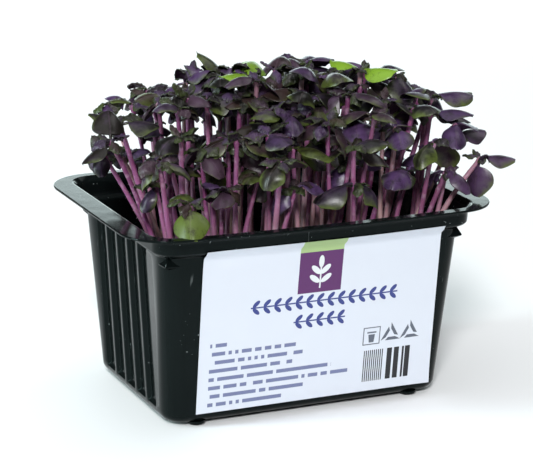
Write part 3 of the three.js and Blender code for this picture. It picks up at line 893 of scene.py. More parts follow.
    @staticmethod
    def _soften(levels: list[tuple[np.ndarray, float]]) -> list[np.ndarray]:
        """Rounds each level's edge and holds the flats beside it.

        Args:
            levels: the levels, each with how much its edge is softened.

        Returns:
            The levels with the rounding ones between them.
        """
        found = [levels[0][0]]
        for (before, _), (here, soft), (after, _) in zip(levels, levels[1:], levels[2:]):
            back, ahead = before - here, after - here
            reach_back = float(np.linalg.norm(back[[0, 1, 5]]))
            reach_ahead = float(np.linalg.norm(ahead[[0, 1, 5]]))
            cut = min(soft, 0.4 * reach_back, 0.4 * reach_ahead)
            if cut <= 0:
                found.append(here)
                continue
            start, end = here + back * (cut / reach_back), here + ahead * (cut / reach_ahead)
            if reach_back > 4 * cut:
                found.append(here + back * (1.8 * cut / reach_back))
            for k in range(5):
                t = k / 4
                found.append((1 - t) ** 2 * start + 2 * t * (1 - t) * here + t * t * end)
            if reach_ahead > 4 * cut:
                found.append(here + ahead * (1.8 * cut / reach_ahead))
        return found + [levels[-1][0]]

    def _lug(self, solid: Solid, side_x: int, side_y: int) -> None:
        """Adds a stacking lug: a low pyramid round a corner, with its point up under the band.

        Args:
            solid: the solid that it joins.
            side_x: 1 at the right or -1 at the left.
            side_y: 1 at the back or -1 at the front.
        """
        high = self.wall_high + 0.4
        low = high - self.lug_height
        half_x, half_y = self.wall_half(low)
        inner_x, inner_y = half_x - 4.5, half_y - 4.5
        top_x, top_y = self.wall_half(high)
        reach = (self.corner + 0.1) * math.sqrt(0.5) - self.corner
        out = (self.corner + self.lug_depth) * math.sqrt(0.5) - self.corner
        tail_long, tail_short = self.lug_tail
        if side_x > 0 > side_y:
            tail_long = self.lug_short_tail
        corners = [
            (top_x + reach, top_y + reach, high),
            (half_x + out, half_y + out, low + 1.3),
            (half_x + reach, half_y + reach, low - 0.2),
            (half_x - self.corner - tail_long, half_y + 0.1, low + 0.7),
            (half_x + 0.1, half_y - self.corner - tail_short, low + 0.7),
            (inner_x, inner_y, low),
            (inner_x, inner_y, high),
        ]
        shape = bmesh.new()
        for x, y, z in corners:
            shape.verts.new((side_x * x, side_y * y, z))
        bmesh.ops.convex_hull(shape, input=shape.verts)
        bmesh.ops.dissolve_limit(shape, angle_limit=0.02, verts=shape.verts, edges=shape.edges)
        soften = {"offset": self.lug_bevel, "segments": 3, "affect": "EDGES", "profile": 0.6}
        bmesh.ops.bevel(shape, geom=shape.edges[:], **soften)
        bmesh.ops.recalc_face_normals(shape, faces=shape.faces)
        shape.verts.index_update()
        points = np.array([v.co[:] for v in shape.verts])
        solid.add(points, [[v.index for v in f.verts] for f in shape.faces])
        shape.free()

    def _foot(self, solid: Solid, x: float, y: float) -> None:
        """Adds a round foot under the base."""
        count = self.foot_sides
        steps = [(1.0, self.foot_height + 0.3), (1.0, 0.9), (0.94, 0.45), (0.82, 0.12), (0.7, 0.0)]
        rings = []
        for share, z in reversed(steps):
            a = np.arange(count) / count * 2 * math.pi
            r = self.foot_radius * share
            rings.append(np.column_stack([x + r * np.cos(a), y + r * np.sin(a), np.full(count, z)]))
        solid.add(np.vstack(rings), ring_faces(len(rings), count))

    def build(self, finish: bpy.types.Material) -> bpy.types.Object:
        """Builds the tray.

        Args:
            finish: its material.

        Returns:
            The piece.
        """
        solid = Solid()
        rings = [self.outline(level) for level in self._profile()]
        solid.add(np.vstack(rings), ring_faces(len(rings), len(rings[0])))
        for sx in (1, -1):
            for sy in (1, -1):
                self._lug(solid, sx, sy)
                x = self.base[0] / 2 - self.foot_inset[0]
                y = self.base[1] / 2 - self.foot_inset[1]
                self._foot(solid, sx * x, sy * y)
        piece = solid.piece("formed_tray", [finish])
        piece.data.set_sharp_from_angle(angle=math.radians(50))
        return piece


# Label


@dataclass
class Label:
    """The paper label on the front wall, in millimetres."""

    length: float = 95.0
    low: float = 5.0
    high: float = 68.5
    shift: float = 2.3
    thick: float = 0.22
    gap: float = 0.22
    curl: float = 0.5
    columns: int = 64
    rows: int = 40

    def build(self, tray: Tray, finish: bpy.types.Material) -> bpy.types.Object:
        """Builds the label on the tray's front wall.

        Args:
            tray: the tray it is stuck on.
            finish: its material.

        Returns:
            The piece.
        """
        us = np.linspace(0.0, 1.0, self.columns + 1)
        vs = np.linspace(0.0, 1.0, self.rows + 1)
        points, print_mm = [], []
        for side in (0, 1):
            for v in vs:
                z = self.low + (self.high - self.low) * v
                half_x, half_y = tray.wall_half(z)
                reach = half_x - tray.corner
                for u in us:
                    x = self.shift + self.length * (u - 0.5)
                    wall = half_y + tray.bow_at(z) * max(0.0, 1 - (x / reach) ** 2)
                    off = self.gap + self._lift(u, v) + side * self.thick + self._bridge(tray, z)
                    points.append((x, -wall - off, z))
                    print_mm.append((x, z, 0.0))
        solid = Solid()
        values = {"print_mm": np.array(print_mm)}
        solid.add(np.array(points), sheet_faces(self.rows, self.columns), 0, values)
        piece = solid.piece("paper_label", [finish])
        piece.data.set_sharp_from_angle(angle=math.radians(50))
        return piece

    @staticmethod
    def _bridge(tray: Tray, z: float) -> float:
        """How far the paper leans out over the step under the band."""
        start, end = tray.wall_high - 1.3, tray.band_low - 0.2
        share = max(0.0, min(1.0, (z - start) / (end - start)))
        wall = tray.wall_half(z)[1]
        return share**2 * (tray.band_half[1] + 0.1 - wall)

    def _lift(self, u: float, v: float) -> float:
        """How far the paper stands off the wall: faint waves, and corners that curl."""
        waves = 0.05 * (1 + math.sin(9.0 * u + 2.0 * v)) + 0.04 * (1 + math.sin(5.0 * v + 3.0 * u + 1.0))
        high_left = max(0.0, 1 - math.hypot(u / 0.10, (1 - v) / 0.14))
        low_right = max(0.0, 1 - math.hypot((1 - u) / 0.12, v / 0.12))
        return waves + self.curl * (high_left + low_right) ** 1.5


# Growing medium


@dataclass
class GrowingMedium:
    """Peat that fills the tray, with a crumbly top and a dip round each root, in millimetres."""

    top: float = 47.0
    gap: float = 0.5
    crown: float = 2.0
    columns: int = 150
    rows: int = 104
    corner: float = 6.0
    draft: float = 2.0
    seed: int = 11
    blurs: int = 6
    grain: float = 0.22
    swell: float = 3.2
    dip: float = 0.5
    relief: tuple[float, float] = (-1.6, 1.4)
    crumb_density: float = 80000.0
    crumb_sizes: tuple[float, float] = (0.0003, 0.0010)

    def build(self, tray: Tray, roots: np.ndarray, finish: bpy.types.Material) -> bpy.types.Object:
        """Builds the block.

        Args:
            tray: the tray that holds it.
            roots: the stems' places, n by 2.
            finish: its material.

        Returns:
            The piece.
        """
        edge_z = self.top - self.crown
        half = tray.inner_half(edge_z) - self.gap
        low = tray.foot_height + tray.sheet + self.gap
        low_half = tray.inner_half(tray.wall_low) - self.gap - self.draft
        rng = np.random.default_rng(self.seed)
        shape = (self.rows + 1, self.columns + 1)
        rough = rng.normal(0.0, 1.0, shape)
        soft = self._smooth(rng.normal(0.0, 1.0, shape), self.blurs)
        points = []
        for r in range(self.rows + 1):
            for c in range(self.columns + 1):
                u, v = 2 * c / self.columns - 1, 2 * r / self.rows - 1
                x, y = self._rounded(u, v, half)
                rim = max(abs(u), abs(v))
                z = self.top - self.crown * self._ramp(rim)
                away = np.min((roots[:, 0] - x) ** 2 + (roots[:, 1] - y) ** 2)
                lift = self.grain * rough[r, c] + self.swell * soft[r, c] - self.dip * math.exp(-away / 4.0)
                points.append((x, y, z + np.clip(lift, *self.relief) * (1 - 0.7 * (rim > 0.99))))
        across = self.columns + 1
        faces = []
        for r in range(self.rows):
            for c in range(self.columns):
                a = r * across + c
                faces.append((a, a + 1, a + across + 1, a + across))
        edge = rim_line(self.rows, self.columns)
        start = len(points)
        for i in edge:
            x, y, _ = points[i]
            points.append((x * low_half[0] / half[0], y * low_half[1] / half[1], low))
        count = len(edge)
        for k in range(count):
            j = (k + 1) % count
            faces.append((edge[k], start + k, start + j, edge[j]))
        faces.append(tuple(reversed(range(start, start + count))))
        solid = Solid()
        solid.add(np.array(points), faces)
        return solid.piece("peat_block", [finish])

    @staticmethod
    def _ramp(rim: float) -> float:
        """0 over the middle and 1 at the edge."""
        s = min(1.0, max(0.0, (rim - 0.8) / 0.2))
        return s * s

    def _rounded(self, u: float, v: float, half: np.ndarray) -> tuple[float, float]:
        """A place on a rounded rectangle from one on a square."""
        x, y = u * half[0], v * half[1]
        straight_x, straight_y = half - self.corner
        over_x, over_y = abs(x) - straight_x, abs(y) - straight_y
        if over_x > 0 and over_y > 0:
            scale = max(over_x, over_y) / math.hypot(over_x, over_y)
            x = math.copysign(straight_x + over_x * scale, x)
            y = math.copysign(straight_y + over_y * scale, y)
        return x, y

    @staticmethod
    def _smooth(values: np.ndarray, times: int) -> np.ndarray:
        """Blurs a grid of values."""
        for _ in range(times):
            values = (values + np.roll(values, 1, 0) + np.roll(values, -1, 0)) / 3
            values = (values + np.roll(values, 1, 1) + np.roll(values, -1, 1)) / 3
        return values


class Shape(Enum):
    """What a scatter places."""

    CRUMB = "crumb"
    HAIR = "hair"


class Scatter:
    """Geometry Nodes that scatter a small shape over a mesh."""

    SEED = 5
    TURNS = (6.3, 6.3, 6.3)
    HAIR = {"Vertices": 3, "Radius Top": 0.0, "Radius Bottom": 0.055, "Depth": 1.0}

    def __init__(self, name: str, shape: Shape, finish: bpy.types.Material) -> None:
        """Builds the tree.

        Args:
            name: the tree's name.
            shape: what is scattered.
            finish: its material.
        """
        self.group = bpy.data.node_groups.new(name, "GeometryNodeTree")
        face = self.group.interface
        face.new_socket("Geometry", in_out="INPUT", socket_type="NodeSocketGeometry")
        for label in ("Density", "Smallest", "Largest"):
            face.new_socket(label, in_out="INPUT", socket_type="NodeSocketFloat")
        face.new_socket("Seed", in_out="INPUT", socket_type="NodeSocketInt")
        face.new_socket("Geometry", in_out="OUTPUT", socket_type="NodeSocketGeometry")
        tree = Tree(self.group)
        source = tree.node("NodeGroupInput")
        given = {s.name: Wire(tree, s) for s in source.socket.node.outputs if s.name}
        spread = tree.node(
            "GeometryNodeDistributePointsOnFaces",
            {"distribute_method": "RANDOM"},
            {"Mesh": given["Geometry"], "Density": given["Density"], "Seed": given["Seed"]},
        )
        turn = Wire(tree, spread.socket.node.outputs["Rotation"])
        size = tree.node(
            "FunctionNodeRandomValue",
            {"data_type": "FLOAT"},
            {2: given["Smallest"], 3: given["Largest"], "Seed": given["Seed"]},
            1,
        )
        if shape is Shape.CRUMB:
            shape_node = tree.node("GeometryNodeMeshIcoSphere", {}, {"Radius": 1.0, "Subdivisions": 1})
            turn = tree.node(
                "FunctionNodeRandomValue",
                {"data_type": "FLOAT_VECTOR"},
                {0: (0.0, 0.0, 0.0), 1: self.TURNS},
            )
        else:
            shape_node = tree.node("GeometryNodeMeshCone", {"fill_type": "NONE"}, self.HAIR)
        placed = tree.node(
            "GeometryNodeInstanceOnPoints",
            {},
            {"Points": spread, "Instance": shape_node, "Rotation": turn, "Scale": size},
        )
        real = tree.node("GeometryNodeRealizeInstances", {}, {"Geometry": placed})
        dressed = tree.node("GeometryNodeSetMaterial", {}, {"Geometry": real, "Material": finish})
        tree.node("NodeGroupOutput", {}, {0: dressed})

    def over(
        self, source: bpy.types.Object, name: str, density: float, sizes: tuple[float, float]
    ) -> bpy.types.Object:
        """Scatters over a mesh and makes the result a plain piece.

        Args:
            source: the mesh to cover.
            name: the new piece's name.
            density: how many in a square metre.
            sizes: the smallest and largest, in metres.

        Returns:
            The new piece.
        """
        modifier = source.modifiers.new("scatter", "NODES")
        modifier.node_group = self.group
        chosen = {"Density": density, "Smallest": sizes[0], "Largest": sizes[1], "Seed": self.SEED}
        for item in self.group.interface.items_tree:
            if item.item_type == "SOCKET" and item.in_out == "INPUT" and item.name in chosen:
                modifier[item.identifier] = chosen[item.name]
        bpy.context.view_layer.update()
        evaluated = source.evaluated_get(bpy.context.evaluated_depsgraph_get())
        mesh = bpy.data.meshes.new_from_object(evaluated)
        source.modifiers.remove(modifier)
        mesh.name = name
        return add_object(name, mesh)


# Seedlings: where they grow and how they are posed


class Kind(Enum):
    """The two kinds of blade."""

    SEED = "seed"
    TRUE = "true"


@dataclass
class Blade:
    """A leaf blade: angles in radians and lengths in millimetres."""

    kind: Kind
    heading: float
    pitch: float
    arch: float
    roll: float
    fold: float
    cup: float
    length: float
    half: float


@dataclass
class Plant:
    """A seedling: its root, its stem's tip, bend and radius, its blades, and whether it is still green."""

    root: tuple[float, float]
    tip: tuple[float, float, float]
    bend: float
    leaves: list[Blade]
    radius: float
    fresh: bool = False


@dataclass(frozen=True)
class Habit:
    """The ranges that a seedling's shape is drawn from, in radians and millimetres."""

    lean: Range = (1.2, 1.13)
    stray_x: Range = (-8.0, 8.0)
    stray_y: Range = (-6.0, 6.0)
    shortfall: float = 30.0
    opened: Range = (-0.5, 0.5)
    turn: Range = (-0.35, 0.35)
    pitch: Range = (-0.1, 0.8)
    arch: Range = (0.8, 2.1)
    roll: Range = (-0.45, 0.45)
    fold: Range = (0.12, 0.4)
    cup: Range = (0.28, 0.5)
    length: Range = (12.5, 17.0)
    half: Range = (5.0, 7.2)
    young_turn: Range = (-0.3, 0.3)
    young_pitch: Range = (0.5, 1.3)
    young_arch: Range = (0.6, 2.0)
    young_roll: Range = (-0.3, 0.3)
    bend: Range = (0.25, 0.55)
    radius: Range = (0.95, 1.2)


@dataclass(frozen=True)
class Crumple:
    """The ranges that a crumpled young leaf is drawn from: angles, and shares of its size."""

    turn: Range = (-0.4, 0.4)
    pitch: Range = (0.2, 1.25)
    arch: Range = (1.1, 2.9)
    length: Range = (0.62, 1.2)
    half: Range = (0.3, 0.42)
    roll: Range = (-0.7, 0.7)
    cup: Range = (0.1, 0.6)
    fold: Range = (0.2, 0.7)
    largest: float = 10.0
    smaller_right: float = 3.2


PETIOLE = 0.2
STALK = 0.6
MIDRIB = 1.1


def half_width(leaf: Blade, u: np.ndarray) -> np.ndarray:
    """Half width of a blade.

    Args:
        leaf: the blade.
        u: shares of its length.

    Returns:
        The half widths.
    """
    seed = leaf.kind is Kind.SEED
    power, around = (0.72, 0.5) if seed else (0.8, 0.75)
    s = (u - PETIOLE) / (1 - PETIOLE)
    inside = np.clip(s, 0.0, 0.9999)
    broad = np.maximum(STALK * (1 - s), leaf.half * np.sin(math.pi * inside**power) ** around)
    return np.where(u <= PETIOLE, STALK, broad)


def blade_points(
    plant: Plant, leaf: Blade, u: np.ndarray, v: np.ndarray, lift: Any = 0.0, soft: float = 0.0
) -> np.ndarray:
    """Points on a blade's middle surface.

    Args:
        plant: the seedling it grows on.
        leaf: the blade.
        u: shares of its length from its foot.
        v: shares of its half width from its midrib.
        lift: how far the points stand over the middle surface.
        soft: how wide the midrib's fold is rounded.

    Returns:
        The points, n by 3.
    """
    pitch = leaf.pitch - leaf.arch * u
    along = (leaf.length / leaf.arch) * (math.sin(leaf.pitch) - np.sin(pitch))
    rise = (leaf.length / leaf.arch) * (np.cos(pitch) - math.cos(leaf.pitch))
    ch, sh = math.cos(leaf.heading), math.sin(leaf.heading)
    cr, sr = math.cos(leaf.roll), math.sin(leaf.roll)
    nx, nz = -np.sin(pitch), np.cos(pitch)
    across = np.stack([-sh * cr + ch * nx * sr, ch * cr + sh * nx * sr, nz * sr], -1)
    out = np.stack([ch * nx * cr + sh * sr, sh * nx * cr - ch * sr, nz * cr], -1)
    side = v * half_width(leaf, u) / math.sqrt(1 + leaf.fold * leaf.fold)
    crease = np.sqrt(side * side + soft * soft) - soft
    drop = leaf.fold * crease + leaf.cup * side * side / leaf.half - lift
    foot = np.stack([plant.tip[0] + ch * along, plant.tip[1] + sh * along, plant.tip[2] + rise], -1)
    return foot + across * side[..., None] - out * drop[..., None]


@dataclass
class Bunch:
    """The stand of seedlings, by the same rule and draws as the solids. Sizes are in millimetres."""

    tray: Tray
    soil_top: float = 47.0
    root_depth: float = 5.0
    nodes: int = 57
    twins: int = 24
    columns: int = 9
    rows: int = 6
    site_left: float = -44.0
    site_right: float = 50.0
    site_deep: float = 32.0
    site_skew: float = 0.36
    smallest: float = 0.74
    tries: int = 60
    twin_tries: int = 160
    twin_scale: float = 0.86
    seed: int = 31
    leaf_room: float = 0.95
    stem_room: float = 1.25
    stem_spacing: float = 1.8
    limit: tuple[float, float] = (79.0, 51.0)
    left_reach: float = 73.5
    wall_room: float = 1.6
    rim_room: float = 1.8
    lowest_tip: float = 86.0
    foot_room: float = 2.6
    crown_top: float = 122.0
    crown_x: float = 14.0
    crown_reach: float = 62.0
    crown_ends: float = 8.0
    crown_front: float = 15.0
    merge_height: float = 27.0
    leaf_floor: float = 4.0
    top_layer: float = 11.0
    added: int = 40
    added_choices: int = 14
    added_scale: float = 0.92
    fresh: tuple[int, ...] = (5, 6, 7)
    jitter_x: Range = (-3.5, 3.5)
    jitter_y: Range = (-3.0, 3.0)
    habit: Habit = Habit()
    leaning: tuple = (
        (-46, -14, -69.3, -16, 103, 0.3, ((185, -8, 12), (75, 62, 13))),
        (-44, -4, -61, -3, 106, 0.35, ((150, 40, 11), (-20, 20, 13))),
        (46, -30, 69, -37, 90, 0.2, ((-28, 22, 12), (215, -55, 13))),
        (43, -22, 63.5, -25, 95, 0.35, ((10, 30, 14), (160, 10, 12))),
        (40, -12, 60, -14, 109, 0.45, ((-12, 24, 15), (190, 35, 13))),
        (-38, -30, -49, -40, 84, 0.4, ((250, -18, 14), (80, 25, 12))),
        (30, -4, 36, -2, 118.5, 0.5, ((-60, 28, 14), (110, 30, 13))),
        (-4, 6, -6, 8, 117.5, 0.5, ((60, 34, 14), (205, 30, 13))),
    )

    def __post_init__(self) -> None:
        """Starts the draws and the list of taken points."""
        self.state = self.seed
        self.taken = np.zeros((0, 3))
        self.rooms = np.zeros(0)
        self.owners = np.zeros(0, int)
        self.count = 0

    def draw(self) -> float:
        """A repeatable draw from 0 to 1."""
        self.state = (self.state * 1664525 + 1013904223) & 0xFFFFFFFF
        return self.state / 4294967296

    def between(self, low: float, high: float) -> float:
        """A draw from low to high."""
        return low + (high - low) * self.draw()

    def stem_points(self, plant: Plant, t: np.ndarray) -> np.ndarray:
        """Points on a stem's axis, from 0 at its root to 1 at its tip."""
        start = np.array([*plant.root, self.soil_top - self.root_depth])
        end = np.array(plant.tip, float)
        share = np.array([plant.bend, plant.bend, 0.5])
        middle = start + (end - start) * share
        t = np.asarray(t, float)[:, None]
        return (1 - t) * (1 - t) * start + 2 * t * (1 - t) * middle + t * t * end

    def feelers(self, plant: Plant) -> tuple[np.ndarray, np.ndarray]:
        """Points spread over a seedling.

        Args:
            plant: the seedling.

        Returns:
            The points, and the room that each needs.
        """
        high = plant.tip[2] - self.soil_top + self.root_depth
        steps = math.ceil(high / self.stem_spacing)
        found = [self.stem_points(plant, np.arange(steps + 1) / steps)]
        for leaf in plant.leaves:
            if leaf.kind is Kind.SEED:
                us, vs = [0.25, 0.38, 0.5, 0.62, 0.75, 0.87, 1], [-1, -0.67, -0.33, 0, 0.33, 0.67, 1]
            else:
                us, vs = [0.3, 0.53, 0.77, 1], [-1, 0, 1]
            u, v = np.meshgrid(np.array(us, float), np.array(vs, float), indexing="ij")
            found.append(blade_points(plant, leaf, u.ravel(), v.ravel()))
        points = np.vstack(found)
        rooms = np.full(len(points), self.leaf_room)
        rooms[: steps + 1] = self.stem_room
        return points, rooms

    def clear_of_tray(self, points: np.ndarray, rooms: np.ndarray) -> bool:
        """Whether a seedling stays off the tray and the peat, and inside the bunch's reach.

        Args:
            points: the seedling's points.
            rooms: the room that each needs.

        Returns:
            True if it does.
        """
        if np.any(np.abs(points[:, 0]) > self.limit[0]) or np.any(np.abs(points[:, 1]) > self.limit[1]):
            return False
        if np.any(points[:, 0] - self.site_skew * points[:, 1] < -self.left_reach):
            return False
        low = points[points[:, 2] <= self.tray.height + self.rim_room]
        base, top = self.tray.inner_half(self.tray.wall_low), self.tray.inner_half(self.tray.wall_high)
        share = (np.maximum(low[:, 2], self.tray.wall_low) - self.tray.wall_low) / (
            self.tray.wall_high - self.tray.wall_low
        )
        room = base + (top - base) * share[:, None] - self.wall_room
        if np.any(np.abs(low[:, :2]) >= room):
            return False
        leaves = points[rooms != self.stem_room]
        return bool(np.all(leaves[:, 2] > self.soil_top + self.leaf_floor))

    def clear_of_others(self, points: np.ndarray, rooms: np.ndarray, sibling: int = -1) -> bool:
        """Whether a seedling stays clear of those placed.

        Args:
            points: the seedling's points.
            rooms: the room that each needs.
            sibling: the number of the seedling that it may touch low down, or -1.

        Returns:
            True if it does.
        """
        grow = 2 * self.stem_room
        low, high = points.min(0) - grow, points.max(0) + grow
        near = np.all((self.taken >= low) & (self.taken <= high), axis=1)
        twin_from = self.soil_top + self.merge_height
        near &= ~((self.owners == sibling) & (self.taken[:, 2] < twin_from))
        others, other_rooms, owners = self.taken[near], self.rooms[near], self.owners[near]
        if not len(others):
            return True
        apart = np.zeros((len(points), len(others)))
        for axis in range(3):
            apart += (points[:, axis, None] - others[None, :, axis]) ** 2
        room = rooms[:, None] + other_rooms[None, :]
        touching = apart < room * room
        if sibling >= 0:
            touching &= ~((owners == sibling)[None, :] & (points[:, 2] < twin_from)[:, None])
        return not bool(touching.any())

    def take(self, points: np.ndarray, rooms: np.ndarray) -> int:
        """Keeps a placed seedling's points, and returns its number."""
        number = self.count
        self.count += 1
        self.taken = np.vstack([self.taken, points])
        self.rooms = np.concatenate([self.rooms, rooms])
        self.owners = np.concatenate([self.owners, np.full(len(points), number)])
        return number

    def canopy(self, x: float, y: float) -> float:
        """Height of the bunch's top at a place."""
        ends = ((x - self.crown_x) / self.crown_reach) ** 2
        front = max(0.0, min(1.0, (-y - 2) / 34))
        return self.crown_top - self.crown_ends * ends - self.crown_front * front - 0.2 * max(0.0, y)

    def draw_plant(self, x: float, y: float, spread: float, scale: float) -> Plant:
        """A drawn seedling.

        Args:
            x: its root's place.
            y: its root's place.
            spread: how far its tip may stray.
            scale: the size of its seed leaves.

        Returns:
            The seedling.
        """
        habit = self.habit
        tip_x = x * habit.lean[0] + spread * self.between(*habit.stray_x)
        tip_y = y * habit.lean[1] + spread * self.between(*habit.stray_y)
        short = self.draw()
        tip_z = max(self.lowest_tip, self.canopy(tip_x, tip_y) - habit.shortfall * short**1.6)
        heading = self.between(0, 2 * math.pi)
        opened = self.between(*habit.opened)
        size = max(0.0, min(1.0, (tip_x + 60) / 60))
        leaf_size = scale * (self.smallest + (1 - self.smallest) * size)
        leaves = []
        for k in range(2):
            turn = heading + k * math.pi + self.between(*habit.turn)
            pitch = opened * (-0.6 if k else 1) + self.between(*habit.pitch)
            arch, roll = self.between(*habit.arch), self.between(*habit.roll)
            fold, cup = self.between(*habit.fold), self.between(*habit.cup)
            length = leaf_size * self.between(*habit.length)
            half = leaf_size * self.between(*habit.half)
            leaves.append(Blade(Kind.SEED, turn, pitch, arch, roll, fold, cup, length, half))
        grown = self.draw() - max(0.0, (tip_x + 10) / 120)
        size = 5 + 6 * max(0.0, grown) ** 2
        if grown > 0.25:
            for k in range(2):
                turn = heading + (k + 0.5) * math.pi + self.between(*habit.young_turn)
                pitch = self.between(*habit.young_pitch)
                arch, roll = self.between(*habit.young_arch), self.between(*habit.young_roll)
                leaves.append(Blade(Kind.TRUE, turn, pitch, arch, roll, 0.45, 0.3, size, size * 0.27))
        bend = self.between(*habit.bend)
        return Plant((x, y), (tip_x, tip_y, tip_z), bend, leaves, self.between(*habit.radius))

    @staticmethod
    def leaning_plant(posed: tuple) -> Plant:
        """A seedling with a given pose.

        Args:
            posed: its root, tip and bend, then its seed leaves' headings, pitches and lengths.

        Returns:
            The seedling.
        """
        x, y, tip_x, tip_y, tip_z, bend, seed_leaves = posed
        leaves = []
        for heading, pitch, length in seed_leaves:
            turn, rise = math.radians(heading), math.radians(pitch)
            leaves.append(Blade(Kind.SEED, turn, rise, 0.8, 0.15, 0.25, 0.3, length, length * 0.47))
        middle = (seed_leaves[0][0] + seed_leaves[1][0]) / 2
        for turn in (middle, middle + 180):
            leaves.append(Blade(Kind.TRUE, math.radians(turn), 0.9, 1, 0.1, 0.45, 0.3, 6, 1.7))
        return Plant((x, y), (tip_x, tip_y, tip_z), bend, leaves, 1.1)

    def grow(self) -> list[list[Plant]]:
        """Every root with its one or two seedlings, in the order of the CAD nodes."""
        roots: list[list[Plant]] = []
        numbers: list[int] = []
        for posed in self.leaning:
            plant = self.leaning_plant(posed)
            numbers.append(self.take(*self.feelers(plant)))
            roots.append([plant])
        for row in range(self.rows):
            for column in range(self.columns):
                stagger = 0.25 if row % 2 else -0.25
                share = (column + 0.5 + stagger) / self.columns
                site_y = self.site_deep * ((2 * row) / (self.rows - 1) - 1)
                left = max(self.site_left + self.site_skew * site_y, -self.site_right)
                site_x = left + (self.site_right - left) * share
                for _ in range(self.tries):
                    if len(roots) >= self.nodes:
                        break
                    x = site_x + self.between(*self.jitter_x)
                    y = site_y + self.between(*self.jitter_y)
                    plant = self.draw_plant(x, y, 1, 1)
                    points, rooms = self.feelers(plant)
                    if self.clear_of_tray(points, rooms) and self.clear_of_others(points, rooms):
                        numbers.append(self.take(points, rooms))
                        roots.append([plant])
                        break
        self._grow_twins(roots, numbers)
        return roots

    def _grow_twins(self, roots: list[list[Plant]], numbers: list[int]) -> None:
        """Adds a second seedling to as many roots as have room for one.

        Args:
            roots: the roots, each with its first seedling.
            numbers: the first seedlings' numbers.
        """
        grown = 0
        for group, number in list(zip(roots, numbers))[len(self.leaning) :]:
            if grown >= self.twins:
                break
            first = group[0]
            side = self.between(0, 2 * math.pi)
            apart = first.radius * 1.15
            x, y = first.root[0] + apart * math.cos(side), first.root[1] + apart * math.sin(side)
            for _ in range(self.twin_tries):
                plant = self.draw_plant(x, y, 2, self.twin_scale)
                points, rooms = self.feelers(plant)
                if self.clear_of_tray(points, rooms) and self.clear_of_others(points, rooms, number):
                    self.take(points, rooms)
                    group.append(plant)
                    grown += 1
                    break

    def fill(self, roots: list[list[Plant]]) -> list[tuple[int, Plant]]:
        """More young seedlings between the others, each where the bunch's top is most open.

        Args:
            roots: the seedlings that the solids have.

        Returns:
            The added seedlings, each with the number of the root that it stands nearest to.
        """
        feet = np.array([group[0].root for group in roots])
        stems = np.array([plant.root for group in roots for plant in group])
        tips = np.array([plant.tip for group in roots for plant in group])
        found: list[tuple[int, Plant]] = []
        while len(found) < self.added:
            best, widest = None, -1.0
            for _ in range(self.added_choices):
                y = self.between(-1, 1) * self.site_deep
                left = max(self.site_left + self.site_skew * y, -self.site_right)
                x = self.between(left, self.site_right)
                plant = self.draw_plant(x, y, 1, self.added_scale)
                if plant.tip[2] < self.canopy(*plant.tip[:2]) - self.top_layer:
                    continue
                points, rooms = self.feelers(plant)
                crowded = np.min(np.hypot(*(stems - (x, y)).T)) < self.foot_room
                if crowded or not self.clear_of_tray(points, rooms):
                    continue
                gap = float(np.min(np.linalg.norm((tips - plant.tip) * (1.0, 1.0, 0.7), axis=1)))
                if gap > widest:
                    best, widest = plant, gap
            if best is not None:
                nearest = int(np.argmin(np.hypot(*(feet - best.root).T)))
                found.append((nearest, best))
                stems, tips = np.vstack([stems, best.root]), np.vstack([tips, best.tip])
        return found


# Seedlings: fine meshes


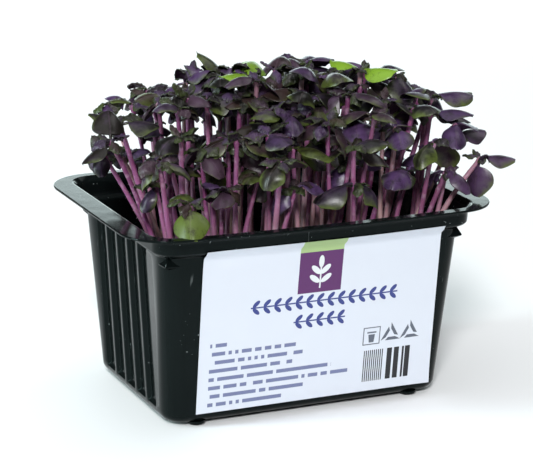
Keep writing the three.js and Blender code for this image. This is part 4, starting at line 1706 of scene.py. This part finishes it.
@dataclass
class SeedlingMaker:
    """Makes the fine mesh of a root's seedlings."""

    bunch: Bunch
    stem_sides: int = 9
    stem_rings: int = 18
    knob: float = 1.35
    blade_thick: float = 0.34
    plump: tuple[float, float] = (1.16, 1.0)
    low_tip: float = 100.0
    purple: Range = (0.0, 0.2)
    young_green: Range = (0.08, 0.5)
    fresh_green: Range = (0.85, 1.0)
    turning: Range = (0.2, 0.42)
    bloom: Range = (-0.15, 0.75)
    crumple: Crumple = Crumple()
    rng: np.random.Generator = field(default_factory=lambda: np.random.default_rng(2024))

    def stem(self, solid: Solid, plant: Plant) -> None:
        """Adds a stem: a slender round stalk with a slightly swollen tip.

        Args:
            solid: the solid that it joins.
            plant: its seedling.
        """
        ts = np.concatenate([np.linspace(0, 0.95, self.stem_rings), [0.975, 0.99, 1.0]])
        middles = self.bunch.stem_points(plant, ts)
        ahead = self.bunch.stem_points(plant, np.minimum(ts + 0.01, 1.0))
        tangents = ahead - self.bunch.stem_points(plant, ts - 0.01)
        tangents /= np.linalg.norm(tangents, axis=1)[:, None]
        side = np.cross([0.0, 1.0, 0.0], tangents)
        side /= np.linalg.norm(side, axis=1)[:, None]
        upright = np.cross(tangents, side)
        phase = self.rng.uniform(0, 6.28, 4)
        swell = 1 + 0.05 * np.sin(9 * ts + phase[0]) + 0.03 * np.sin(23 * ts)
        radius = plant.radius * (0.98 - 0.2 * ts) * swell
        radius[-3:] = [self.knob * 0.7, self.knob * 0.86, self.knob * 0.82]
        sway = 0.22 * np.sin(7 * ts + phase[1]) * np.sin(math.pi * ts)
        nod = 0.2 * np.sin(6 * ts + phase[2]) * np.sin(math.pi * ts)
        middles = middles + side * sway[:, None] + upright * nod[:, None]
        end, onward = middles[-1], tangents[-1]
        middles = np.vstack([middles, end + onward * 0.55, end + onward * 0.9])
        radius = np.append(radius, [self.knob * 0.55, self.knob * 0.2])
        side = np.vstack([side, side[-1:], side[-1:]])
        upright = np.vstack([upright, upright[-1:], upright[-1:]])
        a = np.arange(self.stem_sides) / self.stem_sides * 2 * math.pi
        ring = middles[:, None, :] + radius[:, None, None] * (
            np.cos(a)[None, :, None] * side[:, None, :] + np.sin(a)[None, :, None] * upright[:, None, :]
        )
        tone = np.zeros((len(middles), self.stem_sides, 3))
        tone[:, :, 0] = np.append(ts, [1.0, 1.0])[:, None]
        tone[:, :, 1] = self.rng.uniform(0, 1)
        tanned = self.rng.uniform() > 0.74
        tone[:, :, 2] = self.rng.uniform(0.55, 0.95) if tanned else self.rng.uniform(0, 0.15)
        solid.add(
            ring.reshape(-1, 3),
            ring_faces(len(middles), self.stem_sides),
            0,
            {"tone": tone.reshape(-1, 3), "leaf": np.zeros((ring.shape[0] * ring.shape[1], 3))},
        )

    def blade(self, solid: Solid, plant: Plant, leaf: Blade, tone: tuple[float, float, float]) -> None:
        """Adds a blade with a waved margin, sunk veins and its own thickness.

        Args:
            solid: the solid that it joins.
            plant: its seedling.
            leaf: the blade.
            tone: its greenness, shade and bloom.
        """
        seed = leaf.kind is Kind.SEED
        if seed:
            leaf = replace(leaf, length=leaf.length * self.plump[0], half=leaf.half * self.plump[1])
        steps = np.linspace(0.02, 1, 16 if seed else 17) * math.pi
        blade_us = PETIOLE + (1 - PETIOLE) * (0.5 - 0.5 * np.cos(steps))
        us = np.concatenate([[0.0, 0.08, 0.15, PETIOLE], blade_us])
        vs = np.sin(np.linspace(-1, 1, 12 if seed else 11) * math.pi / 2)
        u, v = np.meshgrid(us, vs, indexing="ij")
        phase = self.rng.uniform(0, 6.28, 6)
        s = np.clip((u - PETIOLE) / (1 - PETIOLE), 0, 1)
        half = half_width(leaf, u)
        wave = 0.32 * v**2 * np.sin(7.5 * u + phase[0] + 1.7 * v) * np.sin(math.pi * s) ** 0.5
        if seed:
            pull = 0.65 * np.exp(-((v * half / 1.6) ** 2)) * s**10
            wave += 0.12 * np.sin(11 * u + phase[1]) * np.sin(7 * v + phase[2]) * s
            wave += (0.55 * v * np.sin(3.4 * u + phase[4]) + 0.5 * v**3 * np.sin(5.2 * u + phase[5])) * s
            edge = 1 + 0.03 * np.sin(13 * u + phase[3]) * np.sign(v) * s
        else:
            pull = 0.0 * u
            size = leaf.length / 8
            crinkle = np.sin(17 * u - 5 * np.abs(v) + phase[1]) * np.cos(3.5 * v + phase[2])
            ripple = 0.42 * crinkle + 0.22 * np.sin(31 * u + 7 * v + phase[4])
            ripple += 0.5 * v * np.sin(6 * u + phase[5])
            wave += size * ripple * np.sin(math.pi * np.clip(s, 0, 0.93)) ** 0.6
            saw = 2 * np.abs(((u * 9) % 1.0) - 0.5)
            edge = 1 + 0.10 * (saw - 0.5) * (s > 0)
        vein = -0.10 * np.exp(-((v / 0.07) ** 2)) * (s > 0)
        laterals = np.abs((((u - 0.34 * np.abs(v)) * 5.0) % 1.0) - 0.5)
        sunk = 0.02 if seed else 0.09
        vein -= sunk * np.exp(-((laterals / 0.08) ** 2)) * (np.abs(v) < 0.85) * (s > 0)
        thick = self.blade_thick * np.sqrt(np.clip(1 - 0.85 * v**2, 0.05, 1)) / 2
        stalk = np.clip(1 - s * 12, 0, 1)
        thick = thick * (1 - stalk) + 0.5 * np.sqrt(np.clip(1 - v**2, 0.02, 1)) * stalk
        moved_u = u - pull / leaf.length
        us, vs, lift = moved_u.ravel(), (v * edge).ravel(), wave + vein
        top = blade_points(plant, leaf, us, vs, (lift + thick).ravel(), MIDRIB)
        bottom = blade_points(plant, leaf, us, vs, (lift - thick).ravel(), MIDRIB)
        faces = sheet_faces(u.shape[0] - 1, u.shape[1] - 1)
        flat = np.stack([np.clip(s, 0, 1).ravel(), v.ravel(), np.zeros(u.size)], -1)
        under = flat.copy()
        under[:, 2] = 1.0
        tones = np.tile(np.array(tone), (2 * u.size, 1))
        values = {"tone": tones, "leaf": np.vstack([flat, under])}
        solid.add(np.vstack([top, bottom]), faces, 1 if seed else 2, values)

    def crumpled(self, plant: Plant) -> list[Blade]:
        """The small young leaves that crowd a stem's tip, more of them towards the left.

        Args:
            plant: the seedling.

        Returns:
            The leaves.
        """
        count = 2 + int(self.rng.uniform() < 0.75) + int(self.rng.uniform() < 0.7 - plant.tip[0] / 90)
        start = self.rng.uniform(0, 6.28)
        ways = self.crumple
        grown = ways.largest - ways.smaller_right * max(0.0, min(1.0, (plant.tip[0] + 20) / 70))
        found = []
        for k in range(count):
            turn = start + k * 2.4 + self.rng.uniform(*ways.turn)
            pitch, arch = self.rng.uniform(*ways.pitch), self.rng.uniform(*ways.arch)
            length = grown * self.rng.uniform(*ways.length)
            half = length * self.rng.uniform(*ways.half)
            roll, cup = self.rng.uniform(*ways.roll), self.rng.uniform(*ways.cup)
            fold = self.rng.uniform(*ways.fold)
            found.append(Blade(Kind.TRUE, turn, pitch, arch, roll, fold, cup, length, half))
        return found

    def tone(self, plant: Plant, leaf: Blade) -> tuple[float, float, float]:
        """Draws a blade's colouring.

        Args:
            plant: its seedling.
            leaf: the blade.

        Returns:
            Its greenness, shade and bloom.
        """
        x = plant.tip[0]
        chance = self.rng.uniform()
        greenness = self.rng.uniform(*self.purple)
        if leaf.kind is Kind.TRUE:
            greenness = self.rng.uniform(*self.young_green)
        elif plant.fresh or chance > 0.99:
            greenness = self.rng.uniform(*self.fresh_green) if plant.tip[2] > self.low_tip else 0.55
        elif chance > 0.58:
            greenness = self.rng.uniform(*self.turning)
        bloom = self.rng.uniform(*self.bloom) + 0.1 * (x > 0)
        return greenness, self.rng.uniform(0, 1), max(0.0, bloom)

    def build(
        self, name: str, group: Sequence[Plant], finishes: Sequence[bpy.types.Material]
    ) -> bpy.types.Object:
        """Builds one root's seedlings as a piece.

        Args:
            name: the piece's name.
            group: its seedlings.
            finishes: the stem's, seed leaf's and true leaf's materials.

        Returns:
            The piece.
        """
        solid = Solid()
        for plant in group:
            self.stem(solid, plant)
            pair = self.tone(plant, plant.leaves[0])
            for leaf in plant.leaves + self.crumpled(plant):
                tone = pair if leaf.kind is Kind.SEED else self.tone(plant, leaf)
                self.blade(solid, plant, leaf, tone)
        return solid.piece(name, finishes)


# Studio


@dataclass(frozen=True)
class Sun:
    """A wide soft sun: the direction it stands in, its strength, and its width in degrees."""

    towards: tuple[float, float, float]
    strength: float
    spread: float


@dataclass(frozen=True)
class Panel:
    """A soft panel light, in millimetres and watts."""

    name: str
    place: tuple[float, float, float]
    size: tuple[float, float]
    power: float
    colour: Colour


@dataclass
class Studio:
    """The camera at the photograph's angle, a pale floor (reach in metres) and lights, in millimetres."""

    image: tuple[int, int] = (533, 470)
    azimuth: float = -24.555
    elevation: float = 15.607
    roll: float = 0.86
    distance: float = 828.466
    focal: float = 2185.95
    aim: tuple[float, float, float] = (0.0, 2.262, 57.366)
    sensor: float = 36.0
    ambient: float = 0.07
    backdrop: float = 0.92
    reach: float = 4.0
    lit: tuple[float, float, float] = (0.0, 0.0, 60.0)
    suns: tuple[Sun, ...] = (Sun((-0.5, -0.9, 0.74), 2.95, 12.0), Sun((0.9, 0.2, 1.1), 0.45, 30.0))
    panels: tuple[Panel, ...] = (
        Panel("side", (-900, 120, 300), (150, 700), 8.5, (0.80, 1.0, 1.0)),
        Panel("back", (550, 1300, 235), (1300, 470), 6.0, (0.84, 1.0, 1.0)),
        Panel("above", (-250, -100, 1300), (1300, 1300), 7.0, (0.97, 0.98, 1.0)),
    )

    def camera(self) -> None:
        """Adds the camera."""
        a, e, r = (math.radians(v) for v in (self.azimuth, self.elevation, self.roll))
        back = Vector((math.sin(a) * math.cos(e), -math.cos(a) * math.cos(e), math.sin(e)))
        level = Vector((math.cos(a), math.sin(a), 0.0))
        above = back.cross(level)
        right = level * math.cos(r) + above * math.sin(r)
        up = above * math.cos(r) - level * math.sin(r)
        data = bpy.data.cameras.new("camera")
        data.sensor_fit = "HORIZONTAL"
        data.sensor_width = self.sensor
        data.lens = self.focal / self.image[0] * self.sensor
        data.clip_start, data.clip_end = 0.01, 20.0
        made = add_object("camera", data)
        place = (Vector(self.aim) + back * self.distance) * MM
        turned = Matrix((right, up, back)).transposed().to_4x4()
        made.matrix_world = Matrix.Translation(place) @ turned
        bpy.context.scene.camera = made
        bpy.context.scene.view_settings.view_transform = "Standard"

    def light(self, panel: Panel) -> None:
        """Adds a panel light that faces the bunch."""
        data = bpy.data.lights.new(panel.name, "AREA")
        data.shape = "RECTANGLE"
        data.size, data.size_y = panel.size[0] * MM, panel.size[1] * MM
        data.energy = panel.power
        data.color = panel.colour
        made = add_object(panel.name, data)
        made.location = Vector(panel.place) * MM
        aim = Vector(self.lit) * MM - made.location
        made.rotation_euler = aim.to_track_quat("-Z", "Y").to_euler()

    @staticmethod
    def sun(lamp: Sun) -> None:
        """Adds a sun."""
        data = bpy.data.lights.new("sun", "SUN")
        data.energy = lamp.strength
        data.angle = math.radians(lamp.spread)
        made = add_object("sun", data)
        made.rotation_euler = Vector(lamp.towards).to_track_quat("Z", "Y").to_euler()

    def floor(self) -> None:
        """Adds the pale floor."""
        mesh = bpy.data.meshes.new("floor")
        signs = ((-1, -1), (1, -1), (1, 1), (-1, 1))
        corners = [(self.reach * sx, self.reach * sy, 0.0) for sx, sy in signs]
        mesh.from_pydata(corners, [], [(0, 1, 2, 3)])
        shader = Shader("pale_floor", Base_Color=(0.86, 0.87, 0.88, 1.0), Roughness=0.7)
        mesh.materials.append(shader.material)
        made = add_object("floor", mesh)

    def world(self) -> None:
        """Sets the pale surroundings."""
        world = bpy.data.worlds.new("pale_room")
        world.use_nodes = True
        tree = Tree(world.node_tree)
        seen = tree.node("ShaderNodeLightPath", output="Is Camera Ray")
        strength = seen * (self.backdrop - self.ambient) + self.ambient
        sky = tree.node("ShaderNodeBackground", {}, {"Color": (0.93, 0.97, 1.0), "Strength": strength})
        tree.node("ShaderNodeOutputWorld", {}, {"Surface": sky})
        bpy.context.scene.world = world

    def build(self) -> None:
        """Adds everything."""
        self.camera()
        self.floor()
        self.world()
        for lamp in self.suns:
            self.sun(lamp)
        for panel in self.panels:
            self.light(panel)


# Assembly


def main() -> None:
    """Builds every piece in order."""
    logging.basicConfig(level=logging.INFO, format="%(message)s")
    Studio().build()
    tray = Tray()
    settle(tray.build(GlossySheet().material()), "black_plastic", "tray")
    settle(Label().build(tray, LabelPaper().material()), "label_paper", "label")
    bunch = Bunch(tray)
    roots = bunch.grow()
    log.info("%d roots, %d seedlings", len(roots), sum(len(group) for group in roots))
    for k in bunch.fresh:
        roots[k][0].fresh = True
    for number, plant in bunch.fill(roots):
        roots[number].append(plant)
    peat = Peat().material()
    places = np.array([plant.root for group in roots for plant in group])
    medium = GrowingMedium()
    block = medium.build(tray, places, peat)
    settle(block, "peat", "growing_medium")
    scatter = Scatter("peat_scatter", Shape.CRUMB, peat)
    crumbs = scatter.over(block, "peat_crumbs", medium.crumb_density, medium.crumb_sizes)
    settle(crumbs, "peat")
    crinkled = {"veins": 6.0, "relief": 0.7, "rough": 0.26, "netting": 0.8}
    young = LeafSkin("true_leaf", olive=(0.026, 0.038, 0.009), **crinkled)
    finishes = [StemSkin().material(), LeafSkin("seed_leaf").material(), young.material()]
    maker = SeedlingMaker(bunch)
    stems = bmesh.new()
    for k, group in enumerate(roots, 1):
        piece = maker.build(f"basil_seedling_{k:02d}", group, finishes)
        settle(piece, "seedling", f"seedling_{k:02d}")
        stems.from_mesh(piece.data)
    settle(StemDown().grow(stems), "seedling")


if __name__ == "__main__":
    main()
